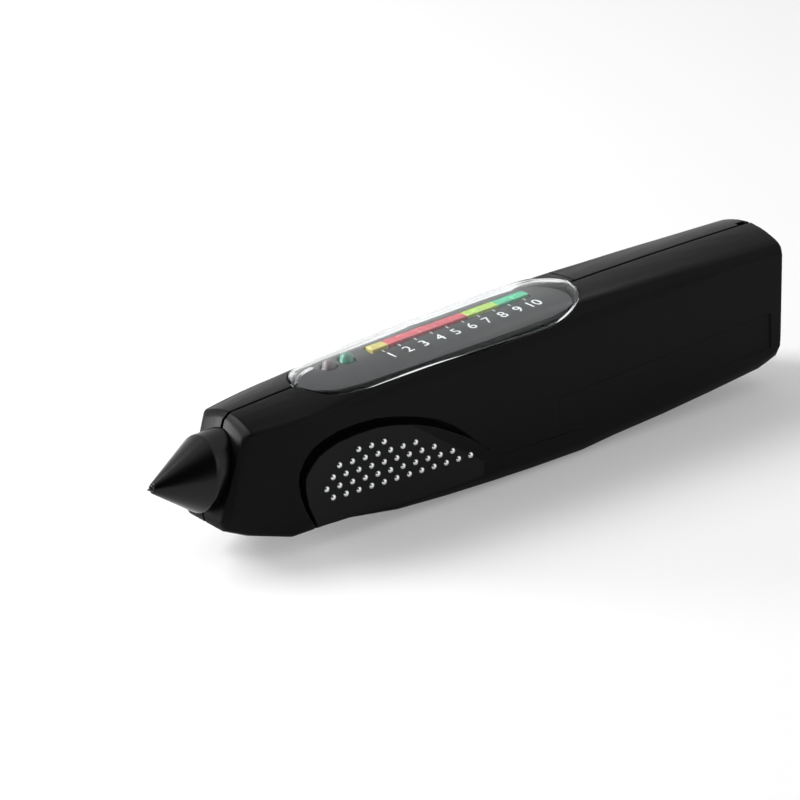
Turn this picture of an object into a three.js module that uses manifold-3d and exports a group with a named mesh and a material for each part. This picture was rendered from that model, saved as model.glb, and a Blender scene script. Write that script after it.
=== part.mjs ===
// Hand-held gem tester with a sprung probe, a light bar and three battery cells in a column.
// Millimetres, +Z up. The probe points to -X, the left side faces -Y, and the belly lies on Z = 0.

import * as THREE from 'three';
import { mergeVertices } from 'three/addons/utils/BufferGeometryUtils.js';
import Module from 'manifold-3d';

const wasm = await Module();
wasm.setup();

// Driving sizes of the whole tester
const LENGTH = 175;
const WIDTH = 23.6;
const HEIGHT = 38.2;
const WALL = 1.6;
const GAP = 0.3;
const SLIP = 0.15;
const SEAM = 0.5;
const OVERRUN = 3;
const EMBED = 0.6;
const TIP_X = -LENGTH / 2;
const REAR_X = LENGTH / 2;
const HALF = WIDTH / 2;

// Probe and nose
const AXIS_Z = 20.7;
const NEEDLE_OUT = 1.4;
const NEEDLE_RADIUS = 0.35;
const NEEDLE_TIP = 0.7;
const NEEDLE_LENGTH = 8.5;
const FERRULE_RADIUS = 0.85;
const FERRULE_LENGTH = 1.8;
const FERRULE_PROUD = 0.3;
const CONE_LENGTH = 11.4;
const CONE_TIP_RADIUS = 1.1;
const CONE_HALF_WIDTH = 7.1;
const CONE_HALF_HEIGHT = 8.4;
const CONE_LEAN = THREE.MathUtils.degToRad(9);
const CONE_RIM = 0.7;
const CONE_WALL = 1.5;
const NECK_LENGTH = 3.9;
const NECK_HALF_WIDTH = 6.1;
const NECK_HALF_HEIGHT = 9.1;
const GUIDE_RADIUS = 4.4;
const GUIDE_LENGTH = 18;
const GUIDE_FRONT = 5;
const GUIDE_STEP = 10;
const BARREL_RADIUS = 1.8;
const BARREL_FRONT = 1.2;
const FLANGE_RADIUS = 2.9;
const FLANGE_THICK = 1.3;
const TAIL_RADIUS = 1;
const TAIL_LENGTH = 2.6;
const PLUG_THICK = 1.8;
const SPRING_WIRE = 0.25;
const SPRING_TURNS = 4;

// Housing outline
const FRONT_LEAN = THREE.MathUtils.degToRad(16.5);
const NOSE_DROP = 6.3;
const NOSE_TAPER = 4.8;
const TAPER_LENGTH = 24;
const TAPER_START = 20.8;
const TAPER_POWER = 1.5;
const BELLY_CORNER = 3.8;
const FRONT_BOW = 0.8;
const EDGE_ROUND = 1.2;
const FRONT_X = TIP_X + NEEDLE_OUT + CONE_LENGTH + NECK_LENGTH;
const BODY_LENGTH = REAR_X - FRONT_X;

// Height of the belly along the body, as shares of the body's length and height
const BELLY_SHARES = [
  [-0.04, 0.35], [-0.023, 0.285], [-0.014, 0.237], [0.005, 0.2], [0.022, 0.177], [0.04, 0.153],
  [0.058, 0.132], [0.094, 0.106], [0.136, 0.104], [0.178, 0.095], [0.219, 0.069], [0.262, 0.041],
  [0.348, 0.019], [0.436, 0.006], [0.481, 0.001], [0.51, 0], [0.605, 0], [0.667, 0.023], [0.763, 0.047],
  [0.86, 0.082], [0.96, 0.124], [0.978, 0.146], [0.992, 0.16], [1, 0.18],
];
// Radius of the belly's long edges, as shares of the body's length and of the corner
const BELLY_CORNER_SHARES = [[0.094, 0.4], [0.136, 1]];
// Stations of the housing: shares of the body's length, of the front's lean and of the edge's rounding
const STATION_SHARES = [
  [0, 1, 1], [0.0075, 1, 0], [0.04, 0.85, 0], [0.094, 0.5, 0], [0.136, 0.2, 0], [0.178, 0, 0],
  [0.262, 0, 0], [0.348, 0, 0], [0.436, 0, 0], [0.51, 0, 0], [0.605, 0, 0], [0.667, 0, 0],
  [0.763, 0, 0], [0.86, 0, 0], [0.96, 0, 0], [0.978, 0, 0], [0.997, 0, 0], [1, 0, 0.3],
];
// Fall of the top's skin across the half width: at the crown's edge, and at the shoulder's crease
const CROWN_DROP_SHARES = [
  [-0.02, 0.039], [0.068, 0.046], [0.131, 0.047], [0.188, 0.037], [0.321, 0.026], [0.574, 0.024],
  [0.637, 0.025], [0.7, 0.033], [0.795, 0.041], [0.889, 0.05], [1, 0.056],
];
const SHOULDER_DROP_SHARES = [
  [-0.008, 0.055], [0.018, 0.062], [0.094, 0.082], [0.188, 0.105], [0.371, 0.149], [0.574, 0.165],
  [0.732, 0.146], [0.883, 0.126], [1, 0.126],
];
const CROWN_EDGE_SHARE = 0.78;
const CROWN_SHARES = [0.3, 0.58, CROWN_EDGE_SHARE];
const SHOULDER_SHARES = [[0.88, 0.36], [0.93, 1]];
const WAIST_SHARE = 0.2;
const ARC_SHARE = 1 - Math.SQRT1_2;

// Grip: a pad with contact studs, behind a groove that narrows to nothing at the rear
const GRIP_REAR = 68.9;
const GRIP_LENGTH = 54.8;
const GRIP_HEIGHT_SHARE = 0.694;
const GRIP_DEPTH = 3;
const GRIP_REAR_DEPTH = 0.6;
const GRIP_SLOPE = 0.8;
const GROOVE_WIDTH = 3.3;
const PAD_DEPTH = 1.3;
const PAD_REAR_DEPTH = -0.1;
const PAD_SLOPE = 0.4;
const GRIP_WALL = 1.3;
// Outline of the recess: shares of its length, of its height and of the groove's width
const GRIP_SHARES = [
  [0.011, 0.309, 0], [0.04, 0.377, 0.08], [0.115, 0.513, 0.2], [0.168, 0.616, 0.4],
  [0.232, 0.717, 0.58], [0.305, 0.804, 0.63], [0.407, 0.887, 0.64], [0.509, 0.947, 0.68],
  [0.609, 0.989, 0.77], [0.719, 1, 0.87], [0.808, 0.99, 0.95], [0.876, 0.955, 1], [0.931, 0.902, 1],
  [0.969, 0.823, 0.98], [0.995, 0.717, 0.82], [1, 0.63, 0.72], [0.991, 0.506, 0.6],
  [0.967, 0.366, 0.45], [0.925, 0.208, 0.35],
];
const STUD_RADIUS = 0.8;
const STUD_PROUD = 0.55;
const STUD_PITCH = 3.42;
const STUD_ROW_SHARE = 0.0615;
const STUD_FIRST = 23.5;
const STUD_BASE_SHARE = 0.2853;
const STUD_SLOPE_SHARE = 0.02;
const STUD_COUNTS = [12, 11, 9, 7, 3];
const STUD_HALF_STEPS = [0, -1, 0, 1, 4];
const STUD_SIDES = 6;
const PLATE_THICK = 0.5;
const PLATE_MARGIN = 1.8;

// Window, panel and lights
const LENS_FRONT = 21.9;
const LENS_LENGTH = 78.2;
const LENS_HALF_WIDTH = 10.35;
const LENS_WALL = 0.8;
const LENS_RISE = 1;
const LENS_BULGE = 1.6;
const LENS_BULGE_LENGTH = 36;
const LENS_RIM = 0.3;
const LENS_SEAT = 0.5;
const LENS_BLEND = 8;
const LEDGE = 1.1;
const COLLAR_DEPTH = 4;
const ARCH_SHARES = [-1, -0.95, -0.87, -0.75, -0.55, -0.3, 0, 0.3, 0.55, 0.75, 0.87, 0.95, 1];
const LENS_STEPS = 57;
const LENS_SHARES = [
  [0.001, 0.055], [0.004, 0.13], [0.015, 0.33], [0.037, 0.56], [0.075, 0.77], [0.149, 0.885],
  [0.225, 0.918], [0.302, 0.937], [0.408, 0.953], [0.515, 0.971], [0.642, 0.986], [0.77, 0.998],
  [0.829, 0.99], [0.871, 0.965], [0.904, 0.912], [0.936, 0.81], [0.963, 0.638], [0.985, 0.4],
  [0.996, 0.185], [0.999, 0.07],
];
const PANEL_CENTRE_SHARE = 0.4719;
const PANEL_DEPTH = 1.6;
const PANEL_SLOPE = THREE.MathUtils.degToRad(2);
const PANEL_THICK = 1.2;
const PANEL_INSET = 1.5;
const BAR_COLOURS = [
  'yellow', 'red', 'red', 'red', 'red', 'red', 'lime', 'lime', 'green', 'green',
];
const BAR_START_SHARE = -0.1688;
const BAR_PITCH_SHARE = 0.05818;
const BAR_WIDTH = 2.6;
const BAR_PROUD = 0.5;
const BAR_Y = 4.3;
const BAR_PART = 0.05;
const LED_RADIUS = 1.8;
const LED_PROUD = 1.4;
const LED_SPACING = 4.9;
const LED_START_SHARE = -0.2481;
const BOARD_THICK = 1.2;
const BOARD_DROP = 5;
const BOARD_HALF_WIDTH = 7.6;
const BOARD_FRONT_SHARE = -0.4028;
const BOARD_REAR_SHARE = 0.3836;
const RAIL_THICK = 1.2;
const RAIL_LAP = 1.2;

// Main board and what stands on it
const MAIN_Z = 11.2;
const MAIN_FRONT = 25;
const MAIN_LENGTH = 64;
const MAIN_HALF_WIDTH = 6.4;
const MAIN_THICK = 1.4;
const RIB_THICK = 1.4;
const RIB_SHARES = [0.1, 0.5, 0.92];
const CHIP = [12, 9, 1.6];
const CHIP_SHARE = 0.3125;
const BUZZER_RADIUS = 4.4;
const BUZZER_HEIGHT = 3.4;
const BUZZER_SHARE = 0.65;
const BUZZER_HOLE = 1;
const HEADER = [9, 2.4];
const HEADER_SHARE = 0.135;
const FINGER_WIDTH = 3;
const FINGER_THICK = 0.4;
const FINGER_FOOT = 2.2;
const FINGER_HEIGHT = 3.4;
const FINGER_SHARE = 0.21875;

// Slide switch in the right side
const SWITCH_MARGIN = 4;
const SWITCH_BODY = [10, 6, 4.6];
const SWITCH_TRAVEL = 4;
const KNOB_LENGTH = 5;
const KNOB_HEIGHT = 4;
const KNOB_THICK = 0.9;
const STEM_LENGTH = 2.6;
const STEM_HEIGHT = 2;
const POCKET_DEPTH = 1.2;
const POCKET_MARGIN = 1;
const POCKET_FLOOR = 1.2;

// Shell screws, driven from the right
const SCREW_HEAD_RADIUS = 1.8;
const SCREW_HEAD_THICK = 1.5;
const SCREW_RADIUS = 0.9;
const SCREW_SEAT = 3.9;
const SCREW_END = 4.8;
const SCREW_SLOT = 0.6;
const BOSS_RADIUS = 2.6;
const SCREW_FRONTS = [9.3, 16.8];
const SCREW_REARS = [21.3, 14.8];
const SCREW_HEIGHT_SHARES = [0.326, 0.709, 0.17, 0.576];

// Battery bay and its cover
const COVER_MARGIN = 1.9;
const CELL_ROOM = 0.35;
const CELL_STAGGER = 5.4;
const CELL_NUB = 1;
const CELL_NUB_RADIUS = 1.9;
const BULKHEAD = 1.2;
const BULKHEAD_INSET = 1.3;
const FRAME_BAR = 1.4;
const FRAME_BAR_HEIGHT = 4;
const CONTACT_THICK = 0.4;
const CONTACT_HALF = 3.4;
const CELL_SPRING = 3;
const CELL_SPRING_WIRE = 0.3;
const CELL_SPRING_TURNS = 3;
const CELL_SPRING_RADIUS = 2.6;
const TAB_WIDTH = 3.4;
const TAB_FRONT_WIDTH = 1.2;
const TAB_THICK = 1.2;
const TAB_REACH = 2;
const TAB_ROOT = 3;
const TAB_MIDDLE = 25;
const NOTCH_LENGTH = 2.6;
const NOTCH_WIDTH = 1.5;
const NOTCH_DEPTH = 0.9;
const NOTCH_REAR = 1.1;
const LABEL_LENGTH = 67;
const LABEL_HEIGHT = 8.7;
const LABEL_DEPTH = 0.45;
const LABEL_REAR = 3.8;
const LABEL_Z = 13.5;
const LABEL_PITCH = THREE.MathUtils.degToRad(2.8);
const LABEL_TILT = THREE.MathUtils.degToRad(1.8);

const ROUND_SIDES = 16;
const SMALL_SIDES = 10;
const COIL_STEPS = 8;
const COIL_SIDES = 5;

const tester = new THREE.Group();

// Mesh helpers

function outward(geometry) {
  const p = geometry.attributes.position;
  const index = geometry.index.array;
  const [a, b, c] = [new THREE.Vector3(), new THREE.Vector3(), new THREE.Vector3()];
  let volume = 0;
  for (let i = 0; i < index.length; i += 3) {
    a.fromBufferAttribute(p, index[i]);
    b.fromBufferAttribute(p, index[i + 1]);
    c.fromBufferAttribute(p, index[i + 2]);
    volume += a.dot(b.cross(c));
  }
  if (volume < 0) {
    for (let i = 0; i < index.length; i += 3) {
      [index[i], index[i + 1]] = [index[i + 1], index[i]];
    }
  }
  return geometry;
}

function bare(geometry) {
  const copy = geometry.clone();
  for (const name of Object.keys(copy.attributes)) {
    if (name !== 'position') copy.deleteAttribute(name);
  }
  return outward(mergeVertices(copy));
}

function solid(geometry) {
  const merged = bare(geometry);
  const vertProperties = new Float32Array(merged.attributes.position.array);
  const triVerts = new Uint32Array(merged.index.array);
  return new wasm.Manifold(new wasm.Mesh({ numProp: 3, vertProperties, triVerts }));
}

function geometryOf(body) {
  const mesh = body.getMesh();
  const geometry = new THREE.BufferGeometry();
  geometry.setAttribute('position', new THREE.BufferAttribute(new Float32Array(mesh.vertProperties), 3));
  geometry.setIndex(new THREE.BufferAttribute(new Uint32Array(mesh.triVerts), 1));
  return geometry;
}

function loft(rings) {
  const count = rings[0].length;
  const points = rings.flat();
  const index = [];
  for (let r = 0; r + 1 < rings.length; r += 1) {
    for (let i = 0; i < count; i += 1) {
      const j = (i + 1) % count;
      const [a, b, c, d] = [r * count + i, r * count + j, (r + 1) * count + j, (r + 1) * count + i];
      index.push(a, b, c, a, c, d);
    }
  }
  const ends = [[0, rings[0]], [(rings.length - 1) * count, rings[rings.length - 1]]];
  ends.forEach(([start, ring], end) => {
    const hub = points.length;
    points.push(ring.reduce((sum, p) => sum.add(p), new THREE.Vector3()).divideScalar(count));
    for (let i = 0; i < count; i += 1) {
      const j = (i + 1) % count;
      if (end) index.push(start + i, start + j, hub);
      else index.push(start + j, start + i, hub);
    }
  });
  const geometry = new THREE.BufferGeometry().setFromPoints(points);
  geometry.setIndex(index);
  return outward(geometry);
}

function box(low, high) {
  const size = high.map((v, i) => v - low[i]);
  const geometry = new THREE.BoxGeometry(...size);
  return geometry.translate(...low.map((v, i) => v + size[i] / 2));
}

function rodX(radius, from, to, y, z, sides = ROUND_SIDES) {
  const geometry = new THREE.CylinderGeometry(radius, radius, to - from, sides);
  return geometry.rotateZ(-Math.PI / 2).translate((from + to) / 2, y, z);
}

function rodY(radius, from, to, x, z, sides = ROUND_SIDES) {
  return new THREE.CylinderGeometry(radius, radius, to - from, sides).translate(x, (from + to) / 2, z);
}

function turnedX(profile, z, sides = ROUND_SIDES) {
  const points = profile.map(([x, radius]) => new THREE.Vector2(radius, x));
  return new THREE.LatheGeometry(points, sides).rotateZ(-Math.PI / 2).translate(0, 0, z);
}

function slab(outline, low, high) {
  const shape = new THREE.Shape(outline.map(([x, y]) => new THREE.Vector2(x, y)));
  return new THREE.ExtrudeGeometry(shape, { depth: high - low, bevelEnabled: false }).translate(0, 0, low);
}

function flipped(geometry) {
  return outward(bare(geometry.clone().scale(1, -1, 1)));
}

class Helix extends THREE.Curve {
  constructor(radius, from, to, turns, y, z, endRadius = radius) {
    super();
    Object.assign(this, { radius, from, to, turns, y, z, endRadius });
  }

  getPoint(t, target = new THREE.Vector3()) {
    const angle = 2 * Math.PI * this.turns * t;
    const radius = THREE.MathUtils.lerp(this.radius, this.endRadius, t);
    const x = THREE.MathUtils.lerp(this.from, this.to, t);
    return target.set(x, this.y + radius * Math.cos(angle), this.z + radius * Math.sin(angle));
  }
}

function coil(helix, wire) {
  const steps = COIL_STEPS * helix.turns;
  const rings = [];
  for (let s = 0; s <= steps; s += 1) {
    const centre = helix.getPoint(s / steps);
    const angle = 2 * Math.PI * helix.turns * s / steps;
    const out = new THREE.Vector3(0, Math.cos(angle), Math.sin(angle));
    const ring = [];
    for (let i = 0; i < COIL_SIDES; i += 1) {
      const turn = 2 * Math.PI * i / COIL_SIDES;
      const offset = out.clone().multiplyScalar(wire * Math.cos(turn));
      ring.push(centre.clone().add(offset).add(new THREE.Vector3(wire * Math.sin(turn), 0, 0)));
    }
    rings.push(ring);
  }
  return loft(rings);
}

function place(name, geometry, finish, parent = tester) {
  const shape = outward(geometry.index ? geometry : bare(geometry));
  shape.computeVertexNormals();
  const mesh = new THREE.Mesh(shape, new THREE.MeshStandardMaterial(finish));
  mesh.name = name;
  parent.add(mesh);
  return mesh;
}

// Finishes

const BLACK = { color: 0x17171a, roughness: 0.45, metalness: 0 };
const CLEAR = { color: 0xe8f0f4, roughness: 0.05, metalness: 0, transparent: true, opacity: 0.35 };
const GREY = { color: 0x5b6062, roughness: 0.6, metalness: 0 };
const CHROME = { color: 0xd6d8da, roughness: 0.15, metalness: 1 };
const STEEL = { color: 0x9a9da0, roughness: 0.35, metalness: 1 };
const BRASS = { color: 0xb98a4a, roughness: 0.3, metalness: 1 };
const GREEN_BOARD = { color: 0x1d5a36, roughness: 0.5, metalness: 0 };
const DARK_PART = { color: 0x222326, roughness: 0.5, metalness: 0 };
const CELL_SLEEVE = { color: 0x35506e, roughness: 0.35, metalness: 0.3 };
const LIGHTS = { yellow: 0xe8b83a, red: 0xd8303c, lime: 0xb7d93a, green: 0x27b483, clear: 0xd9c3c6 };

// Housing

function between(table, share) {
  let i = 1;
  while (i < table.length - 1 && table[i][0] < share) i += 1;
  const [[a, va], [b, vb]] = [table[i - 1], table[i]];
  return va + (vb - va) * THREE.MathUtils.clamp((share - a) / (b - a), 0, 1);
}

const alongBody = (distance) => FRONT_X + distance;
const topAt = (x) => HEIGHT - NOSE_DROP * ((REAR_X - x) / BODY_LENGTH) ** 2;
const bellyAt = (x) => HEIGHT * between(BELLY_SHARES, (x - FRONT_X) / BODY_LENGTH);
const bellyCornerAt = (x) => BELLY_CORNER * between(BELLY_CORNER_SHARES, (x - FRONT_X) / BODY_LENGTH);

const taperAt = (x) => Math.max(0, (alongBody(TAPER_START) - x) / TAPER_LENGTH) ** TAPER_POWER;
const halfWidthAt = (x) => HALF - NOSE_TAPER * taperAt(x);

const crownDropAt = (x) => HEIGHT * between(CROWN_DROP_SHARES, (x - FRONT_X) / BODY_LENGTH);
const shoulderDropAt = (x) => HEIGHT * between(SHOULDER_DROP_SHARES, (x - FRONT_X) / BODY_LENGTH);

// Fall of the skin below the seam line, at a share of the half width
function fallAt(x, share) {
  const [crown, shoulder] = [crownDropAt(x), shoulderDropAt(x)];
  if (share <= CROWN_EDGE_SHARE) return crown * (share / CROWN_EDGE_SHARE) ** 2;
  const steps = SHOULDER_SHARES.map(([across, part]) => [across, crown + (shoulder - crown) * part]);
  return between([[CROWN_EDGE_SHARE, crown], ...steps], share);
}

const skinAt = (x, y) => topAt(x) - fallAt(x, Math.abs(y) / halfWidthAt(x));

function sectionAt(x, inset) {
  const half = halfWidthAt(x) - inset;
  const top = topAt(x) - inset;
  const belly = bellyAt(x) + inset;
  const corner = Math.max(bellyCornerAt(x) - inset, bellyCornerAt(x) / 3);
  const upper = [...CROWN_SHARES, ...SHOULDER_SHARES.map(([across]) => across)];
  return [
    [0, top], ...upper.map((share) => [half * share, top - fallAt(x, share)]),
    [half, belly + (top - belly) * WAIST_SHARE], [half, belly + corner],
    [half - corner * ARC_SHARE, belly + corner * ARC_SHARE], [half - corner, belly], [0, belly],
  ];
}

function housingHalf(side, inset, seam) {
  const front = FRONT_X + inset / Math.cos(FRONT_LEAN);
  const length = REAR_X - inset - front;
  const rings = STATION_SHARES.map(([share, lean, rounded]) => {
    const start = front + length * share;
    const slope = Math.tan(FRONT_LEAN) * lean;
    const trim = inset + EDGE_ROUND * rounded;
    return sectionAt(start, trim).map((_, i) => {
      let x = start;
      let point = sectionAt(x, trim)[i];
      for (let pass = 0; pass < 5; pass += 1) {
        x = start + slope * (point[1] - AXIS_Z) + FRONT_BOW * lean * (point[0] / HALF) ** 2;
        point = sectionAt(x, trim)[i];
      }
      return new THREE.Vector3(x, side * Math.max(point[0], seam), point[1]);
    });
  });
  return loft(rings);
}

function housingInside(inset) {
  const both = [-1, 1].map((side) => solid(housingHalf(side, inset, -EMBED)));
  return both[0].add(both[1]);
}

// Ring of the leaning nose, oval, round the probe's axis
function noseRing(x, halfWidth, halfHeight, lean, sides = ROUND_SIDES) {
  const ring = [];
  for (let i = 0; i < sides; i += 1) {
    const angle = 2 * Math.PI * i / sides;
    const up = halfHeight * Math.sin(angle);
    const across = halfWidth * Math.cos(angle);
    ring.push(new THREE.Vector3(x + up * Math.sin(lean), across, AXIS_Z + up * Math.cos(lean)));
  }
  return ring;
}

// Grip recess, drawn for the left side

const gripRear = alongBody(GRIP_REAR);
const gripHeight = HEIGHT * GRIP_HEIGHT_SHARE;
const gripDepthAt = (x) => (
  THREE.MathUtils.mapLinear(x, gripRear, gripRear - GRIP_LENGTH, GRIP_REAR_DEPTH, GRIP_DEPTH)
);
const padDepthAt = (x) => (
  THREE.MathUtils.mapLinear(x, gripRear, gripRear - GRIP_LENGTH, PAD_REAR_DEPTH, PAD_DEPTH)
);
const gripFloorAt = (x) => -(HALF - gripDepthAt(x));
const padFaceAt = (x) => -(HALF - padDepthAt(x));
const plateBackAt = (x) => gripFloorAt(x) + GRIP_WALL + GAP + PLATE_THICK;

function gripOutline(grow, groove = 0) {
  const points = GRIP_SHARES.map(([along, up, width]) => (
    [gripRear - GRIP_LENGTH * along, gripHeight * up, grow - groove * width]
  ));
  const [first, last] = [points[0], points[points.length - 1]];
  const outline = [...points, [last[0], -OVERRUN, last[2]], [first[0], -OVERRUN, first[2]]];
  return outline.map(([x, z, out], i) => {
    const [px, pz] = outline[(i + outline.length - 1) % outline.length];
    const [nx, nz] = outline[(i + 1) % outline.length];
    const run = Math.hypot(nx - px, nz - pz);
    return [x + out * (nz - pz) / run, z - out * (nx - px) / run];
  });
}

function gripBlock(grow, slope, depth) {
  const outer = gripOutline(grow);
  const inner = gripOutline(grow - slope);
  const rings = [
    outer.map(([x, z]) => new THREE.Vector3(x, -HALF - OVERRUN, z)),
    outer.map(([x, z]) => new THREE.Vector3(x, -HALF, z)),
    inner.map(([x, z]) => new THREE.Vector3(x, gripFloorAt(x) + depth, z)),
  ];
  return loft(rings);
}

// Pad that stays standing in the recess; at the rear its face runs out through the side's own face
function gripPad() {
  const [face, foot] = [gripOutline(0, GROOVE_WIDTH), gripOutline(PAD_SLOPE, GROOVE_WIDTH)];
  return loft([
    face.map(([x, z]) => new THREE.Vector3(x, padFaceAt(x), z)),
    foot.map(([x, z]) => new THREE.Vector3(x, gripFloorAt(x) + EMBED, z)),
  ]);
}

function studPlaces() {
  const places = [];
  STUD_COUNTS.forEach((count, row) => {
    for (let i = 0; i < count; i += 1) {
      const along = (STUD_HALF_STEPS[row] / 2 + i) * STUD_PITCH;
      const z = HEIGHT * (STUD_BASE_SHARE + STUD_ROW_SHARE * row) - STUD_SLOPE_SHARE * along;
      places.push([alongBody(STUD_FIRST) + along, z]);
    }
  });
  return places;
}

function studCutter() {
  const holes = studPlaces().map(([x, z]) => {
    const floor = gripFloorAt(x);
    const geometry = rodY(STUD_RADIUS + SLIP, floor - OVERRUN, floor + OVERRUN, x, z, STUD_SIDES);
    return solid(geometry);
  });
  return wasm.Manifold.union(holes);
}

// Thin plate behind the pad, with one domed pin for each stud
function contactPlate() {
  const back = GRIP_WALL + GAP + PLATE_THICK;
  const outline = studPlaces();
  const rowEnds = [];
  let start = 0;
  for (const count of STUD_COUNTS) {
    rowEnds.push([outline[start], outline[start + count - 1]]);
    start += count;
  }
  const reach = STUD_RADIUS + PLATE_MARGIN;
  const front = rowEnds.map(([first]) => [first[0] - reach, first[1]]);
  const rear = rowEnds.map(([, last]) => [last[0] + reach, last[1]]).reverse();
  const [frontTop, rearTop, rearFoot] = [front[front.length - 1], rear[0], rear[rear.length - 1]];
  const foot = [[rearFoot[0], rearFoot[1] - reach], [front[1][0], front[0][1] - reach]];
  const head = [[frontTop[0], frontTop[1] + reach], [rearTop[0], rearTop[1] + reach]];
  const rim = [...front.slice(1), ...head, ...rear, ...foot];
  const rings = [back - PLATE_THICK, back].map((depth) => (
    rim.map(([x, z]) => new THREE.Vector3(x, gripFloorAt(x) + depth, z))
  ));
  const domes = studPlaces().map(([x, z]) => {
    const foot0 = gripFloorAt(x) + back - PLATE_THICK / 2;
    const tip = padFaceAt(x) - STUD_PROUD;
    const profile = [
      [foot0, 0], [foot0, STUD_RADIUS], [tip + STUD_PROUD, STUD_RADIUS],
      [tip + STUD_PROUD / 4, STUD_RADIUS * Math.SQRT1_2], [tip, 0],
    ];
    const points = profile.map(([y, radius]) => new THREE.Vector2(radius, y));
    return solid(new THREE.LatheGeometry(points, STUD_SIDES).translate(x, 0, z));
  });
  return solid(loft(rings)).add(wasm.Manifold.union(domes));
}

// Window over the panel

const lensFront = alongBody(LENS_FRONT);

const lensCurve = new THREE.SplineCurve(LENS_SHARES.map(([along, across]) => (
  new THREE.Vector2(lensFront + LENS_LENGTH * along, LENS_HALF_WIDTH * across)
)));

// One side of the window's outline, moved out square to the curve
function lensOutline(grow) {
  return lensCurve.getPoints(LENS_STEPS).map((point, i) => {
    const along = lensCurve.getTangent(i / LENS_STEPS);
    return [point.x - along.y * grow, Math.max(point.y + along.x * grow, GAP)];
  });
}

function lensPlan(grow) {
  const near = lensOutline(grow);
  return [...near.map(([x, y]) => [x, -y]), ...near.reverse()];
}

function riseAt(x, y, half) {
  const share = THREE.MathUtils.clamp((half - Math.abs(y)) / LENS_BLEND, 0, 1);
  const front = THREE.MathUtils.clamp(1 - (x - lensFront) / LENS_BULGE_LENGTH, 0, 1);
  return LENS_RIM + (LENS_RISE + LENS_BULGE * front) * Math.sin(share * Math.PI / 2);
}

function lensArch(x, half, wall) {
  const outer = ARCH_SHARES.map((s) => {
    const y = half * s;
    return new THREE.Vector3(x, y, skinAt(x, y) + riseAt(x, y, half));
  });
  const inside = Math.max(half - wall, half / 3);
  const inner = ARCH_SHARES.map((s) => {
    const y = inside * s;
    const roof = skinAt(x, y) + riseAt(x, y, half) - wall;
    return new THREE.Vector3(x, y, Math.abs(s) === 1 ? skinAt(x, half) - LENS_SEAT : roof);
  }).reverse();
  const foot = [half, -half].map((y) => new THREE.Vector3(x, y, skinAt(x, half) - LENS_SEAT));
  return [...outer, foot[0], ...inner, foot[1]];
}

function displayLens() {
  return loft(lensOutline(0).map(([x, half]) => lensArch(x, half, LENS_WALL)));
}

// Block through the top along the window's outline, down to a depth below the window's rim
function windowBlock(grow, low) {
  const base = lensOutline(0);
  return loft(lensOutline(grow).map(([x, half], i) => {
    const floor = skinAt(...base[i]) - low;
    const roof = topAt(x) + OVERRUN;
    const corners = [[-half, roof], [half, roof], [half, floor], [-half, floor]];
    return corners.map(([y, z]) => new THREE.Vector3(x, y, z));
  }));
}

// Shells

const shelf = windowBlock(LEDGE, COLLAR_DEPTH);
const seatCut = windowBlock(GAP, LENS_SEAT + GAP);
const windowCut = windowBlock(-LEDGE, COLLAR_DEPTH + OVERRUN);
const panelCentre = lensFront + LENS_LENGTH * PANEL_CENTRE_SHARE;
const panelTop = topAt(panelCentre) - PANEL_DEPTH;
const displayMatrix = new THREE.Matrix4().makeTranslation(panelCentre, 0, panelTop)
  .multiply(new THREE.Matrix4().makeRotationY(-PANEL_SLOPE));
const [boardFront, boardRear] = [BOARD_FRONT_SHARE, BOARD_REAR_SHARE].map((share) => LENS_LENGTH * share);
const mainFront = alongBody(MAIN_FRONT);
const splitX = lensFront + LENS_LENGTH + COVER_MARGIN;
const screwXs = [...SCREW_FRONTS.map(alongBody), ...SCREW_REARS.map((distance) => splitX - distance)];
const screwPlaces = SCREW_HEIGHT_SHARES.map((up, i) => [screwXs[i], HEIGHT * up]);
const guideFront = FRONT_X - GUIDE_FRONT;

function joined(first, ...rest) {
  return rest.reduce((sum, geometry) => sum.add(solid(geometry)), first);
}

function cut(first, ...rest) {
  return rest.reduce((sum, geometry) => sum.subtract(solid(geometry)), first);
}

// One half of the housing: wall, collar under the window, grip pad, ribs and screw bosses
function shellHalf(side) {
  const turn = (geometry) => (side < 0 ? geometry : flipped(geometry));
  const outside = solid(housingHalf(side, 0, SEAM / 2));
  const inside = solid(housingHalf(side, WALL, -EMBED));
  const ribFoot = RIB_SHARES.map((share) => {
    const x = mainFront + MAIN_LENGTH * share;
    return turn(box([x - RIB_THICK / 2, plateBackAt(x) + GAP, 0], [x + RIB_THICK / 2, 0, MAIN_Z - GAP]));
  });
  const saddleX = guideFront + GUIDE_LENGTH - RIB_THICK * 2;
  const saddle = turn(box([saddleX - RIB_THICK, -HALF, 0], [saddleX, 0, AXIS_Z + GUIDE_RADIUS]));
  const railLow = -BOARD_DROP - BOARD_THICK - GAP - RAIL_THICK;
  const rail = turn(box(
    [boardFront + RAIL_LAP, -HALF, railLow],
    [boardRear - RAIL_LAP, -BOARD_HALF_WIDTH + RAIL_LAP, railLow + RAIL_THICK],
  )).applyMatrix4(displayMatrix);
  const bosses = screwPlaces.map(([x, z]) => turn(rodY(BOSS_RADIUS, -HALF, 0, x, z, SMALL_SIDES)));
  const backing = turn(gripBlock(WALL, GRIP_SLOPE, GRIP_WALL));
  let room = cut(inside, backing, shelf, ...bosses, saddle, rail, ...ribFoot);
  if (side > 0) room = cut(room, switchPad());
  let shell = outside.subtract(room);
  const recess = solid(turn(gripBlock(0, GRIP_SLOPE, 0))).subtract(solid(turn(gripPad())));
  shell = cut(shell.subtract(recess), seatCut, windowCut);
  shell = cut(shell, rodX(GUIDE_RADIUS + GAP, guideFront - OVERRUN, guideFront + GUIDE_LENGTH, 0, AXIS_Z));
  const studs = side < 0 ? studCutter() : solid(flipped(geometryOf(studCutter())));
  return shell.subtract(studs);
}

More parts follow.
